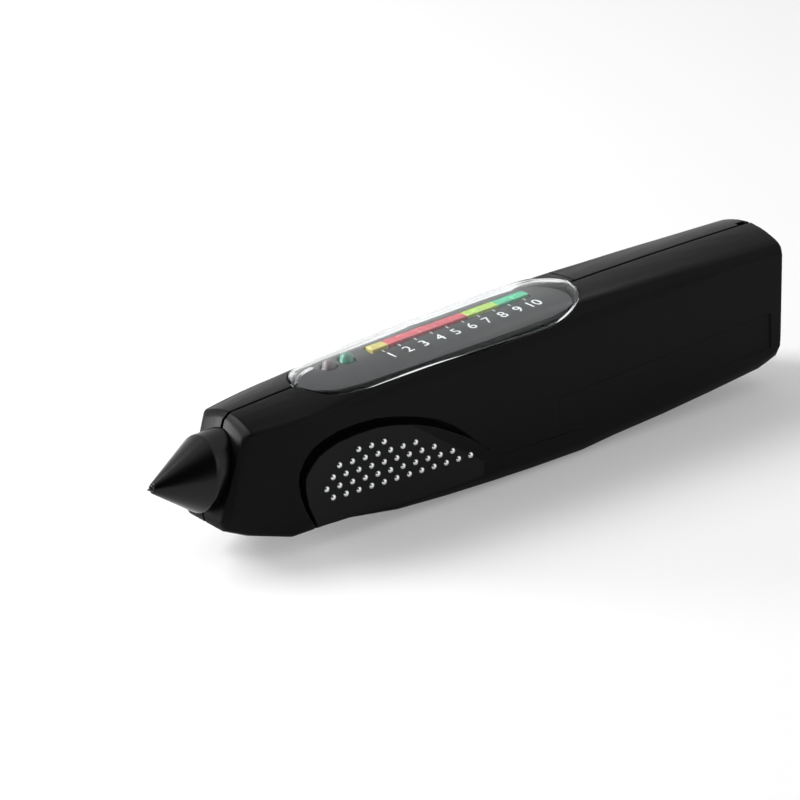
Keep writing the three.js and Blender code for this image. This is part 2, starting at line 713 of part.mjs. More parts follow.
const switchX = mainFront + MAIN_LENGTH - SWITCH_BODY[0] / 2 - SWITCH_MARGIN;
const switchZ = MAIN_Z + MAIN_THICK + GAP + SWITCH_BODY[2] / 2;
const pocketHalf = (KNOB_LENGTH + SWITCH_TRAVEL) / 2 + POCKET_MARGIN;
const pocketUp = KNOB_HEIGHT / 2 + POCKET_MARGIN;

function switchPad() {
  const inner = HALF - POCKET_DEPTH - POCKET_FLOOR;
  return box(
    [switchX - pocketHalf - WALL, inner, switchZ - pocketUp - WALL],
    [switchX + pocketHalf + WALL, HALF, switchZ + pocketUp + WALL],
  );
}

function leftShell() {
  const shell = shellHalf(-1);
  const pilots = screwPlaces.map(([x, z]) => (
    rodY(SCREW_RADIUS + GAP, -SCREW_END - GAP, OVERRUN, x, z, SMALL_SIDES)
  ));
  const label = box(
    [-LABEL_LENGTH / 2, -OVERRUN, -LABEL_HEIGHT / 2],
    [LABEL_LENGTH / 2, LABEL_DEPTH, LABEL_HEIGHT / 2],
  ).rotateX(-LABEL_TILT).rotateY(-LABEL_PITCH);
  label.translate(REAR_X - LABEL_REAR - LABEL_LENGTH / 2, -HALF, LABEL_Z);
  return cut(shell, ...pilots, label);
}

function rightHalf() {
  const seat = HALF - SCREW_SEAT;
  const pilots = screwPlaces.map(([x, z]) => (
    rodY(SCREW_RADIUS + GAP, -OVERRUN, HALF, x, z, SMALL_SIDES)
  ));
  const sinks = screwPlaces.map(([x, z]) => (
    rodY(SCREW_HEAD_RADIUS + GAP, seat, HALF + OVERRUN, x, z, SMALL_SIDES)
  ));
  const pocket = box(
    [switchX - pocketHalf, HALF - POCKET_DEPTH, switchZ - pocketUp],
    [switchX + pocketHalf, HALF + OVERRUN, switchZ + pocketUp],
  );
  const slotHalf = (STEM_LENGTH + SWITCH_TRAVEL) / 2 + GAP;
  const slot = box(
    [switchX - slotHalf, 0, switchZ - STEM_HEIGHT / 2 - GAP],
    [switchX + slotHalf, HALF, switchZ + STEM_HEIGHT / 2 + GAP],
  );
  return cut(shellHalf(1), ...pilots, ...sinks, pocket, slot);
}

// Cover: the rear stretch of the right half, with tabs that reach past the seam
function batteryCover(half) {
  const rear = half.intersect(solid(box(
    [splitX + GAP, -WIDTH, -OVERRUN],
    [REAR_X + OVERRUN, WIDTH, HEIGHT + OVERRUN],
  )));
  const tabs = [];
  const frontTab = splitX + GAP * 2;
  const rearTab = REAR_X - WALL - GAP - TAB_WIDTH - EDGE_ROUND;
  for (const [x, width] of [[frontTab, TAB_FRONT_WIDTH], [rearTab, TAB_WIDTH]]) {
    const roof = topAt(x) - WALL;
    tabs.push(box([x, SEAM, roof - TAB_THICK], [x + width, TAB_ROOT, roof + EMBED - GAP]));
    tabs.push(box([x, -TAB_REACH, roof - TAB_THICK - GAP], [x + width, TAB_ROOT, roof - GAP]));
  }
  for (const [x, width] of [[frontTab, TAB_FRONT_WIDTH], [splitX + TAB_MIDDLE, TAB_WIDTH]]) {
    const floor = Math.max(bellyAt(x), bellyAt(x + width)) + WALL;
    tabs.push(box([x, SEAM, bellyAt(x) + WALL - EMBED], [x + width, TAB_ROOT, floor + TAB_THICK]));
    tabs.push(box([x, -TAB_REACH, floor + GAP], [x + width, TAB_ROOT, floor + GAP + TAB_THICK]));
  }
  const notchEnd = REAR_X - NOTCH_REAR;
  const notchTop = topAt(notchEnd);
  const notch = box(
    [notchEnd - NOTCH_LENGTH, 0, notchTop - NOTCH_DEPTH],
    [notchEnd, NOTCH_WIDTH, notchTop + OVERRUN],
  );
  return cut(joined(rear, ...tabs), notch);
}

const right = rightHalf();
place('left_shell', geometryOf(leftShell()), BLACK);
place('right_shell', geometryOf(right.intersect(solid(
  box([TIP_X, -WIDTH, -OVERRUN], [splitX, WIDTH, HEIGHT + OVERRUN]),
))), BLACK);
place('battery_cover', geometryOf(batteryCover(right)), BLACK);
place('left_contact_plate', geometryOf(contactPlate()), CHROME);
place('right_contact_plate', flipped(geometryOf(contactPlate())), CHROME);

// Nose cone, ferrule and the sprung probe

const coneFront = TIP_X + NEEDLE_OUT;
const coneRear = coneFront + CONE_LENGTH;
const ferruleBore = NEEDLE_RADIUS + SLIP;

function noseCone() {
  const outer = loft([
    noseRing(coneFront, CONE_TIP_RADIUS, CONE_TIP_RADIUS, CONE_LEAN),
    noseRing(coneRear, CONE_HALF_WIDTH, CONE_HALF_HEIGHT, CONE_LEAN),
    noseRing(coneRear + CONE_RIM, CONE_HALF_WIDTH, CONE_HALF_HEIGHT, CONE_LEAN),
    noseRing(FRONT_X - GAP, NECK_HALF_WIDTH, NECK_HALF_HEIGHT, FRONT_LEAN),
  ]);
  const bore = GUIDE_RADIUS + GAP;
  const hollow = loft([
    noseRing(coneFront + CONE_WALL * 2, BARREL_RADIUS / 2, BARREL_RADIUS / 2, 0),
    noseRing(guideFront - GAP, bore, bore, 0),
    noseRing(FRONT_X + CONE_LENGTH, bore, bore, 0),
  ]);
  const hole = rodX(FERRULE_RADIUS + SLIP, coneFront - OVERRUN, coneFront + OVERRUN, 0, AXIS_Z);
  return cut(solid(outer), hollow, hole);
}

function ferrule() {
  const front = coneFront - FERRULE_PROUD;
  return turnedX([
    [front, ferruleBore], [front, FERRULE_RADIUS - SLIP], [front + SLIP, FERRULE_RADIUS],
    [front + FERRULE_LENGTH, FERRULE_RADIUS], [front + FERRULE_LENGTH, ferruleBore], [front, ferruleBore],
  ], AXIS_Z);
}

function needle() {
  return turnedX([
    [TIP_X, 0], [TIP_X + NEEDLE_TIP / 4, NEEDLE_RADIUS / 2], [TIP_X + NEEDLE_TIP, NEEDLE_RADIUS],
    [TIP_X + NEEDLE_LENGTH, NEEDLE_RADIUS], [TIP_X + NEEDLE_LENGTH, 0],
  ], AXIS_Z, SMALL_SIDES);
}

const needleEnd = TIP_X + NEEDLE_LENGTH;
const barrelFront = needleEnd - BARREL_FRONT;
const stepX = guideFront + GUIDE_STEP;
const flangeFront = stepX + GAP;
const flangeRear = flangeFront + FLANGE_THICK;

function barrel() {
  const pocket = NEEDLE_RADIUS + GAP;
  return turnedX([
    [needleEnd + GAP, 0], [needleEnd + GAP, pocket], [barrelFront, pocket],
    [barrelFront, BARREL_RADIUS * 2 / 3], [barrelFront + BARREL_FRONT, BARREL_RADIUS],
    [flangeFront, BARREL_RADIUS], [flangeFront, FLANGE_RADIUS],
    [flangeRear, FLANGE_RADIUS], [flangeRear, TAIL_RADIUS], [flangeRear + TAIL_LENGTH, TAIL_RADIUS],
    [flangeRear + TAIL_LENGTH, 0],
  ], AXIS_Z);
}

const guideRear = guideFront + GUIDE_LENGTH;
const chamber = FLANGE_RADIUS + GAP;

function probeGuide() {
  return turnedX([
    [guideFront, BARREL_RADIUS + SLIP], [guideFront, GUIDE_RADIUS], [guideRear, GUIDE_RADIUS],
    [guideRear, chamber], [stepX, chamber], [stepX, BARREL_RADIUS + SLIP], [guideFront, BARREL_RADIUS + SLIP],
  ], AXIS_Z);
}

const plugFront = guideRear - PLUG_THICK;
const springMean = (TAIL_RADIUS + chamber) / 2;

place('nose_cone', geometryOf(noseCone()), BLACK);
place('nose_ferrule', ferrule(), STEEL);
place('probe_needle', needle(), STEEL);
place('probe_barrel', barrel(), BRASS);
place('probe_guide', probeGuide(), DARK_PART);
const springEnds = [flangeRear + GAP + SPRING_WIRE, plugFront - GAP - SPRING_WIRE];
place('probe_spring', coil(
  new Helix(springMean, ...springEnds, SPRING_TURNS, 0, AXIS_Z),
  SPRING_WIRE,
), STEEL);
place('guide_plug', rodX(chamber - SLIP, plugFront, guideRear, 0, AXIS_Z), DARK_PART);

// Window, panel, light bar and display board

place('display_lens', displayLens(), CLEAR);

const display = new THREE.Group();
display.applyMatrix4(displayMatrix);
tester.add(display);
const barStart = LENS_LENGTH * BAR_START_SHARE;
const barPitch = LENS_LENGTH * BAR_PITCH_SHARE;
const barEnd = barStart + BAR_COLOURS.length * barPitch;
const ledStart = LENS_LENGTH * LED_START_SHARE;
const ledPlaces = [ledStart, ledStart - LED_SPACING];

function displayPanel() {
  const plan = lensPlan(-PANEL_INSET).map(([x, y]) => [(x - panelCentre) / Math.cos(PANEL_SLOPE), y]);
  const slot = box(
    [barStart - GAP, BAR_Y - BAR_WIDTH / 2 - GAP, -PANEL_THICK - OVERRUN],
    [barEnd + GAP, BAR_Y + BAR_WIDTH / 2 + GAP, OVERRUN],
  );
  const holes = ledPlaces.map((x) => (
    new THREE.CylinderGeometry(LED_RADIUS + GAP, LED_RADIUS + GAP, OVERRUN * 2, SMALL_SIDES)
      .rotateX(Math.PI / 2).translate(x, BAR_Y, 0)
  ));
  return cut(solid(slab(plan, -PANEL_THICK, 0)), slot, ...holes);
}

place('display_panel', geometryOf(displayPanel()), GREY, display);
BAR_COLOURS.forEach((colour, i) => {
  const start = barStart + i * barPitch;
  const shape = box(
    [start + BAR_PART, BAR_Y - BAR_WIDTH / 2, -BOARD_DROP + GAP],
    [start + barPitch - BAR_PART, BAR_Y + BAR_WIDTH / 2, BAR_PROUD],
  );
  const number = String(i + 1).padStart(2, '0');
  place(`light_segment_${number}`, shape, { color: LIGHTS[colour], roughness: 0.3, metalness: 0 }, display);
});

function led(x) {
  const flat = LED_PROUD - LED_RADIUS;
  const profile = [
    [-BOARD_DROP + GAP, 0], [-BOARD_DROP + GAP, LED_RADIUS], [flat, LED_RADIUS],
    [flat + LED_RADIUS * Math.SQRT1_2, LED_RADIUS * Math.SQRT1_2], [flat + LED_RADIUS, 0],
  ];
  const points = profile.map(([z, radius]) => new THREE.Vector2(radius, z));
  return new THREE.LatheGeometry(points, SMALL_SIDES).rotateX(Math.PI / 2).translate(x, BAR_Y, 0);
}

place('ready_light', led(ledPlaces[0]), { color: LIGHTS.green, roughness: 0.2, metalness: 0 }, display);
place('battery_light', led(ledPlaces[1]), { color: LIGHTS.clear, roughness: 0.2, metalness: 0 }, display);
place('display_board', box(
  [boardFront, -BOARD_HALF_WIDTH, -BOARD_DROP - BOARD_THICK],
  [boardRear, BOARD_HALF_WIDTH, -BOARD_DROP],
), GREEN_BOARD, display);

// Main board, chip, buzzer, header and contact fingers

const mainTop = MAIN_Z + MAIN_THICK;
place('main_board', box(
  [mainFront, -MAIN_HALF_WIDTH, MAIN_Z],
  [mainFront + MAIN_LENGTH, MAIN_HALF_WIDTH, mainTop],
), GREEN_BOARD);
const chipX = mainFront + MAIN_LENGTH * CHIP_SHARE;
place('control_chip', box(
  [chipX, -CHIP[1] / 2, mainTop + GAP],
  [chipX + CHIP[0], CHIP[1] / 2, mainTop + GAP + CHIP[2]],
), DARK_PART);

function buzzer() {
  const low = mainTop + GAP;
  const high = low + BUZZER_HEIGHT;
  const profile = [
    [low, 0], [low, BUZZER_RADIUS], [high, BUZZER_RADIUS], [high, BUZZER_HOLE],
    [high - BUZZER_HEIGHT / 2, BUZZER_HOLE], [high - BUZZER_HEIGHT / 2, 0],
  ];
  const points = profile.map(([z, radius]) => new THREE.Vector2(radius, z));
  const turned = new THREE.LatheGeometry(points, ROUND_SIDES).rotateX(Math.PI / 2);
  return turned.translate(mainFront + MAIN_LENGTH * BUZZER_SHARE, 0, 0);
}

place('buzzer', buzzer(), DARK_PART);

// Underside of the display board above a place on the main board
function displayUnderside(x) {
  const drop = (BOARD_DROP + BOARD_THICK) / Math.cos(PANEL_SLOPE);
  return panelTop + (x - panelCentre) * Math.tan(PANEL_SLOPE) - drop;
}

const headerX = mainFront + MAIN_LENGTH * HEADER_SHARE;
place('board_header', box(
  [headerX, -HEADER[1] / 2, mainTop + GAP],
  [headerX + HEADER[0], HEADER[1] / 2, displayUnderside(headerX) - GAP],
), DARK_PART);

function contactFinger() {
  const x = mainFront + MAIN_LENGTH * FINGER_SHARE;
  const tip = -plateBackAt(x) - GAP - FINGER_THICK;
  const start = MAIN_HALF_WIDTH - FINGER_THICK - FINGER_FOOT;
  const low = mainTop + GAP;
  const profile = [
    [start, low], [start + FINGER_FOOT, low], [tip, low + FINGER_HEIGHT - FINGER_THICK],
    [tip + FINGER_THICK, low + FINGER_HEIGHT - FINGER_THICK], [tip + FINGER_THICK, low + FINGER_HEIGHT],
    [tip - FINGER_THICK, low + FINGER_HEIGHT], [start + FINGER_FOOT - FINGER_THICK, low + FINGER_THICK],
    [start, low + FINGER_THICK],
  ];
  const shape = new THREE.Shape(profile.map(([y, z]) => new THREE.Vector2(-y, z)));
  const strip = new THREE.ExtrudeGeometry(shape, { depth: FINGER_WIDTH, bevelEnabled: false });
  return strip.rotateX(Math.PI / 2).rotateZ(Math.PI / 2).translate(x, 0, 0);
}

place('left_contact_finger', contactFinger(), BRASS);
place('right_contact_finger', flipped(contactFinger()), BRASS);

// Slide switch

const pocketFloor = HALF - POCKET_DEPTH;
const bodyOuter = pocketFloor - POCKET_FLOOR - GAP;
place('switch_body', box(
  [switchX - SWITCH_BODY[0] / 2, bodyOuter - SWITCH_BODY[1], mainTop + GAP],
  [switchX + SWITCH_BODY[0] / 2, bodyOuter, mainTop + GAP + SWITCH_BODY[2]],
), STEEL);

function switchKnob() {
  const x = switchX - SWITCH_TRAVEL / 2;
  const cap = box(
    [x - KNOB_LENGTH / 2, pocketFloor + SLIP, switchZ - KNOB_HEIGHT / 2],
    [x + KNOB_LENGTH / 2, pocketFloor + SLIP + KNOB_THICK, switchZ + KNOB_HEIGHT / 2],
  );
  const stem = box(
    [x - STEM_LENGTH / 2, bodyOuter + GAP, switchZ - STEM_HEIGHT / 2],
    [x + STEM_LENGTH / 2, pocketFloor + SLIP + KNOB_THICK / 2, switchZ + STEM_HEIGHT / 2],
  );
  return joined(solid(cap), stem);
}

place('power_switch_knob', geometryOf(switchKnob()), DARK_PART);

// Screws

function shellScrew(x, z) {
  const seat = HALF - SCREW_SEAT + GAP;
  const head = seat + SCREW_HEAD_THICK;
  const profile = [
    [-SCREW_END, 0], [-SCREW_END, SCREW_RADIUS], [seat, SCREW_RADIUS], [seat, SCREW_HEAD_RADIUS],
    [head, SCREW_HEAD_RADIUS], [head, SCREW_SLOT], [head - SCREW_SLOT, SCREW_SLOT], [head - SCREW_SLOT, 0],
  ];
  const points = profile.map(([y, radius]) => new THREE.Vector2(radius, y));
  return new THREE.LatheGeometry(points, SMALL_SIDES).translate(x, 0, z);
}

screwPlaces.forEach(([x, z], i) => place(`shell_screw_${i + 1}`, shellScrew(x, z), STEEL));

// Battery frame, cells and contacts

const bulkheadX = splitX + BULKHEAD_INSET + TAB_FRONT_WIDTH;
const plateX = bulkheadX + BULKHEAD + GAP;
const bayFront = plateX + CONTACT_THICK;
const rearBulkheadX = REAR_X - WALL - GAP - BULKHEAD;
const bayRear = rearBulkheadX - GAP - CONTACT_THICK;
const cellLength = bayRear - bayFront - CELL_SPRING - CELL_NUB - GAP * 2;

// Three cells, staggered to both sides, fill the bay's height between its floor and its roof
const columnFoot = bellyAt(bayRear - CELL_SPRING) + WALL + CELL_ROOM;
const columnHead = skinAt(bayFront, CELL_STAGGER / 2) - WALL - CELL_ROOM;
const halfColumn = (columnHead - columnFoot) / 2;
const reach = halfColumn + 2 * GAP;
const cellRadius = (Math.sqrt(reach ** 2 + 3 * (CELL_STAGGER ** 2 + halfColumn ** 2 - GAP ** 2)) - reach) / 3;
const cells = [0, 1, 2].map((i) => ({
  y: (i % 2 ? 1 : -1) * CELL_STAGGER / 2,
  z: columnFoot + cellRadius + i * (halfColumn - cellRadius),
  forward: i % 2 === 0,
}));

function batteryFrame() {
  const room = housingInside(WALL + GAP);
  const top = cells[2].z + CONTACT_HALF + GAP;
  const side = HALF - WALL - GAP;
  const fronts = [bulkheadX, rearBulkheadX].map((x) => box([x, -HALF, 0], [x + BULKHEAD, HALF, top]));
  const bars = [0, 1].map((i) => {
    const z = (cells[i].z + cells[i + 1].z) / 2;
    return box(
      [bulkheadX, -side, z - FRAME_BAR_HEIGHT / 2],
      [rearBulkheadX + BULKHEAD, -side + FRAME_BAR, z + FRAME_BAR_HEIGHT / 2],
    );
  });
  let frame = joined(solid(fronts[0]), fronts[1], ...bars).intersect(room);
  const clear = cells.map(({ y, z }) => rodX(cellRadius + GAP, bayFront, bayRear, y, z));
  frame = cut(frame, ...clear);
  return frame;
}

place('battery_frame', geometryOf(batteryFrame()), DARK_PART);

cells.forEach(({ y, z, forward }, i) => {
  const nub = forward ? bayFront + GAP : bayRear - GAP;
  const way = forward ? 1 : -1;
  const [shoulder, foot] = [CELL_NUB, CELL_NUB + cellLength].map((length) => nub + way * length);
  const profile = [
    [nub, 0], [nub, CELL_NUB_RADIUS], [shoulder, CELL_NUB_RADIUS], [shoulder, cellRadius],
    [foot, cellRadius], [foot, 0],
  ];
  place(`battery_cell_${i + 1}`, turnedX(profile, z).translate(0, y, 0), CELL_SLEEVE);
});

function contactPad(rear, from, to) {
  const x = rear ? bayRear : plateX;
  const across = [cells[from], cells[to]];
  const ys = across.map((cell) => cell.y);
  return box(
    [x, Math.min(...ys) - CONTACT_HALF, across[0].z - CONTACT_HALF],
    [x + CONTACT_THICK, Math.max(...ys) + CONTACT_HALF, across[1].z + CONTACT_HALF],
  );
}

function cellSpring(rear, i) {
  const foot = rear ? bayRear + CONTACT_THICK / 2 : bayFront - CONTACT_THICK / 2;
  const way = rear ? -1 : 1;
  const end = (rear ? bayRear : bayFront) + way * (CELL_SPRING - CELL_SPRING_WIRE);
  const helix = new Helix(
    CELL_SPRING_RADIUS, foot, end, CELL_SPRING_TURNS, cells[i].y, cells[i].z, CELL_SPRING_RADIUS / 2,
  );
  return coil(helix, CELL_SPRING_WIRE);
}

place('negative_contact', geometryOf(joined(solid(contactPad(true, 0, 0)), cellSpring(true, 0))), STEEL);
place('front_cell_link', geometryOf(joined(solid(contactPad(false, 0, 1)), cellSpring(false, 1))), STEEL);
place('rear_cell_link', geometryOf(joined(solid(contactPad(true, 1, 2)), cellSpring(true, 2))), STEEL);
place('positive_contact', contactPad(false, 2, 2), STEEL);

export default tester;
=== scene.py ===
"""Finished pieces and studio for a hand-held gem tester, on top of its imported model.

Metres. The needle points to -X, the side with the label faces -Y, and +Z is up.
"""

import math

import bmesh
import bpy
from mathutils import Matrix, Vector


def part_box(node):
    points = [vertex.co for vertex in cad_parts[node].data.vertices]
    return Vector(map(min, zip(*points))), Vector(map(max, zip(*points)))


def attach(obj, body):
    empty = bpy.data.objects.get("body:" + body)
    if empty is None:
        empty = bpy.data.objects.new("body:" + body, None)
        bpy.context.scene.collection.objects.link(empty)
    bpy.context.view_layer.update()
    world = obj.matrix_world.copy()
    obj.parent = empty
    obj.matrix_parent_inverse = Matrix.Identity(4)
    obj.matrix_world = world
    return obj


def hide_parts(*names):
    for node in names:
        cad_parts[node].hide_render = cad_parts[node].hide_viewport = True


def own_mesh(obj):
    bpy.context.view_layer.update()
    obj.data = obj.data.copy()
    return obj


bl_info = {
    "name": "Gem tester",
    "version": (1, 0, 0),
    "blender": (4, 5, 0),
    "location": "3D View > Sidebar > Gem tester",
    "description": "Makes the finished pieces, the lamps and the camera of a hand-held gem tester",
    "category": "Object",
}

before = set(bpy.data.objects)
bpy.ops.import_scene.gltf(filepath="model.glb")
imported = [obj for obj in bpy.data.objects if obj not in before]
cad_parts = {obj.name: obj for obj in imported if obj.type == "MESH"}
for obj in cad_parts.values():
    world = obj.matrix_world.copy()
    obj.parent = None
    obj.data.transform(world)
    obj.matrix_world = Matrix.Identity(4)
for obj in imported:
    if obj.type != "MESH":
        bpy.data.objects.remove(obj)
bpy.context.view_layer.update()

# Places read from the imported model
TIP_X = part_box("probe_needle")[0].x
REAR_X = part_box("battery_cover")[1].x
HALF = -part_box("left_shell")[0].y
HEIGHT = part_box("left_shell")[1].z
LENS_LOW, LENS_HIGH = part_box("display_lens")
NEEDLE_LOW, NEEDLE_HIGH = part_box("probe_needle")
AXIS_Z = (NEEDLE_LOW.z + NEEDLE_HIGH.z) / 2
CONE_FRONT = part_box("nose_cone")[0].x

# Housing outline, as in the solids
FRONT_X = -0.0708
BODY_LENGTH = REAR_X - FRONT_X
NOSE_DROP = 0.0063
NOSE_TAPER = 0.0048
TAPER_LENGTH = 0.024
TAPER_START = 0.0208
TAPER_POWER = 1.5
CROWN_EDGE_SHARE = 0.78
CROWN_INNER_SHARE = 0.58
CROWN_FALL_SHARES = (0.3, CROWN_INNER_SHARE, CROWN_EDGE_SHARE)
CREASE_SHARE = 0.93
SHOULDER_SHARES = [(0.88, 0.36), (CREASE_SHARE, 1)]
CROWN_DROP_SHARES = [
    (-0.02, 0.039), (0.068, 0.046), (0.131, 0.047), (0.188, 0.037), (0.321, 0.026), (0.574, 0.024),
    (0.637, 0.025), (0.7, 0.033), (0.795, 0.041), (0.889, 0.05), (1, 0.056),
]
SHOULDER_DROP_SHARES = [
    (-0.008, 0.055), (0.018, 0.062), (0.094, 0.082), (0.188, 0.105), (0.371, 0.149), (0.574, 0.165),
    (0.732, 0.146), (0.883, 0.126), (1, 0.126),
]
SKIN_STEP = 0.0025
SKIN_CUT_SHARES = (0.15, 0.3, 0.45, 0.58, 0.68, 0.73, 0.77, 0.8, 0.825, 0.85, 0.875, 0.895, 0.912)
SKIN_REACH = 0.00035
SKIN_LEAN = 0.05
SNAP = 0.00008
GAP = 0.0003

# Nose
CONE_TIP_RADIUS = 0.0011
CONE_LENGTH = 0.0114
CONE_HALF_WIDTH = 0.0071
CONE_HALF_HEIGHT = 0.0084
CONE_LEAN = math.radians(9)
CONE_RIM = 0.0007
CONE_WALL = 0.0015
CONE_EDGE = 0.0003
NECK_HALF_WIDTH = 0.0061
NECK_HALF_HEIGHT = 0.0091
NECK_LEAN = math.radians(16.5)
GUIDE_BORE = 0.0047
GUIDE_FRONT = 0.005
FERRULE_RADIUS = 0.00085
FERRULE_BORE = 0.0005
FERRULE_LENGTH = 0.0018
FERRULE_PROUD = 0.0003
FERRULE_EDGE = 0.00012
NEEDLE_RADIUS = 0.00035
NEEDLE_POINT = 0.0007
NEEDLE_NOSE = 0.0001
NOSE_SIDES = 96
TURNED_SIDES = 48

# Window
LENS_WALL = 0.0008
LENS_RISE = 0.00097
LENS_BULGE = 0.0016
LENS_BULGE_LENGTH = 0.036
LENS_RIM = 0.0003
LENS_SEAT = 0.0005
LENS_BLEND = 0.008
LENS_SHARES = [
    (0.0004, 0.01), (0.001, 0.055), (0.004, 0.13), (0.015, 0.33), (0.037, 0.56), (0.075, 0.77),
    (0.149, 0.885), (0.225, 0.918), (0.302, 0.937), (0.408, 0.953), (0.515, 0.971), (0.642, 0.986),
    (0.77, 0.998), (0.829, 0.99), (0.871, 0.965), (0.904, 0.912), (0.936, 0.81), (0.963, 0.638),
    (0.985, 0.4), (0.996, 0.185), (0.999, 0.07), (0.9996, 0.01),
]
LENS_HALF_WIDTH = 0.01035
LENS_LENGTH = 0.0782
LENS_START = (LENS_LOW.x + LENS_HIGH.x - LENS_LENGTH) / 2
LENS_FINENESS = 6
LENS_ACROSS = 40

# Studs in the grips
STUD_RADIUS = 0.0008
STUD_PROUD = 0.00055
STUD_SHANK = 0.0016
STUD_HOLE_REACH = 0.0038
STUD_SINK = STUD_RADIUS - STUD_PROUD
STUD_SIDES = 24
STUD_RINGS = 7
STUD_PITCH = 0.00342
STUD_FIRST = 0.0235
STUD_BASE_SHARE = 0.2853
STUD_ROW_SHARE = 0.0615
STUD_SLOPE_SHARE = 0.02
STUD_COUNTS = (12, 11, 9, 7, 3)
STUD_HALF_STEPS = (0, -1, 0, 1, 4)
GRIP_REAR = 0.0689
GRIP_LENGTH = 0.0548
PAD_DEPTH = 0.0013
PAD_REAR_DEPTH = -0.0001
GROOVE_DEPTH = 0.0032
GROOVE_EDGE = 0.0002
GRIP_TOP_SHARE = 0.71
CORNER_LEAN = 0.1
FACE_LEAN = 0.98
STUD_HOLE = 0.000969

# Panel, its marks and its lights
SEGMENT_COLOURS = ("yellow", *["red"] * 5, *["lime"] * 2, *["green"] * 2)
PANEL_SLOPE = math.radians(2)
PANEL_EDGE = 0.00015
LIGHT_EDGE = 0.00018
MARK_SIZE = 0.0042
MARK_Y = -0.0008
MARK_THICK = 0.00004
TICK_LENGTH = 0.001
TICK_WIDTH = 0.00022
TICK_Y = 0.0023

# Switch and screws
KNOB_EDGE = 0.0002
SCREW_COUNT = 4
SCREW_HEAD_RADIUS = 0.0018
SCREW_HEAD_THICK = 0.0015
SCREW_RADIUS = 0.0009
SCREW_SEAT = 0.0039
SCREW_END = 0.0048
SCREW_EDGE = 0.0003
SCREW_POINT = 0.0009
DRIVE_REACH = 0.0011
DRIVE_WIDTH = 0.0004
DRIVE_DEPTH = 0.0008
DRIVE_FLOOR_SHARE = 0.8
SCREW_SIDES = 64

# Spring and cells
SPRING_WIRE = 0.00025
SPRING_TURNS = 4.0
SPRING_STEPS = 48
SPRING_SIDES = 16
CELL_COUNT = 3
CELL_DIGITS = 5
CELL_EDGE = 0.0004
CELL_BAND_SHARE = 0.8

# Camera and stage
CAMERA_TARGET = Vector((-0.01994, 0, 0.02221))
CAMERA_AZIMUTH = math.radians(-39.83)
CAMERA_ELEVATION = math.radians(23.38)
CAMERA_DISTANCE = 0.69641
CAMERA_LENS = 144.06
CAMERA_SENSOR = 36
CAMERA_NEAR = 0.01
CAMERA_FAR = 20
LAMPS = {  # place and size
    "key": (Vector((-0.6, 0.55, 0.7)), 0.5),
    "front": (Vector((0.45, -0.85, 0.45)), 0.5),
    "nose": (Vector((-0.72, 0.68, 0.15)), 0.25),
}
FLOOR_HALF = 6.0
DARK_SIDE = Vector((-0.69, -0.55, 0.47))
DARK_EDGE = (0.62, 0.88)

# Edges and finishes
MERGE_DISTANCE = 1e-6
FLAT_ANGLE = math.radians(0.3)
CONE_SHARP = math.radians(28)
SHARP = math.radians(35)
WINDOW_SHARP = math.radians(40)
ROUND_SHARP = math.radians(60)
EDGE_SEGMENTS = 3
CORNER_SHARE = 0.45
OVAL_SIZES = ("half_width", "half_height", "lean")
DRAWN = (0.1, 1, 1)
TURNED = (8, 1, 1)
FINE = 0.00001
COARSE = 0.00002
CONE_ROUGHNESS_SHARE = 0.7
# Painted shade in the grip's groove: a darker black that hardly reflects
GROOVE_SHADE_ROUGHNESS = 0.6
GROOVE_SHADE_SHEEN = 0.01
PAD_ROUGHNESS = 0.4


def cubic(low, leave, high, arrive, t):
    """Value at t between low and high, on a curve with a slope at each end."""
    square, cube = t * t, t * t * t
    return (
        low * (2 * cube - 3 * square + 1) + leave * (cube - 2 * square + t)
        + high * (3 * square - 2 * cube) + arrive * (cube - square)
    )


def eased(table, share):
    """Value of a table of (share, value) pairs, on a curve that passes smoothly through them."""
    last = len(table) - 1
    i = next((k for k in range(last) if share <= table[k + 1][0]), last - 1)
    (start, low), (end, high) = table[i], table[i + 1]
    step = end - start
    slopes = []
    for k in (i, i + 1):
        before, after = table[max(k - 1, 0)], table[min(k + 1, last)]
        slopes.append((after[1] - before[1]) / (after[0] - before[0]) * step)
    return cubic(low, slopes[0], high, slopes[1], max(0, min(1, (share - start) / step)))


def curve_point(table, place):
    """Point of the smooth curve through a table's pairs, at a place counted in pairs."""
    last = len(table) - 1
    i = min(int(place), last - 1)
    near = [table[max(0, min(last, k))] for k in (i - 1, i, i + 1, i + 2)]
    return [
        cubic(low, (high - before) / 2, high, (after - low) / 2, place - i)
        for before, low, high, after in zip(*near)
    ]


def top_at(x):
    """Height of the seam line along the top."""
    return HEIGHT - NOSE_DROP * ((REAR_X - x) / BODY_LENGTH) ** 2


def half_width_at(x):
    """Half width of the housing."""
    taper = max(0, (FRONT_X + TAPER_START - x) / TAPER_LENGTH) ** TAPER_POWER
    return HALF - NOSE_TAPER * taper


def skin_at(x, y):
    """Height of the housing's top: a shallow crown, then a shoulder down to the side's crease."""
    along = (x - FRONT_X) / BODY_LENGTH
    crown = HEIGHT * eased(CROWN_DROP_SHARES, along)
    shoulder = HEIGHT * eased(SHOULDER_DROP_SHARES, along)
    share = min(abs(y) / half_width_at(x), CREASE_SHARE)
    if share <= CROWN_INNER_SHARE:
        return top_at(x) - crown * (share / CROWN_EDGE_SHARE) ** 2
    falls = [(part, crown * (part / CROWN_EDGE_SHARE) ** 2) for part in CROWN_FALL_SHARES]
    falls += [(across, crown + (shoulder - crown) * part) for across, part in SHOULDER_SHARES]
    return top_at(x) - eased(falls, share)


# Meshes


def linked(name, data):
    """New object in the scene on its data."""
    obj = bpy.data.objects.new(name, data)
    bpy.context.scene.collection.objects.link(obj)
    return obj


def mesh_object(name, bm):
    """New object from a bmesh, which is used up."""
    mesh = bpy.data.meshes.new(name)
    bm.to_mesh(mesh)
    bm.free()
    return linked(name, mesh)


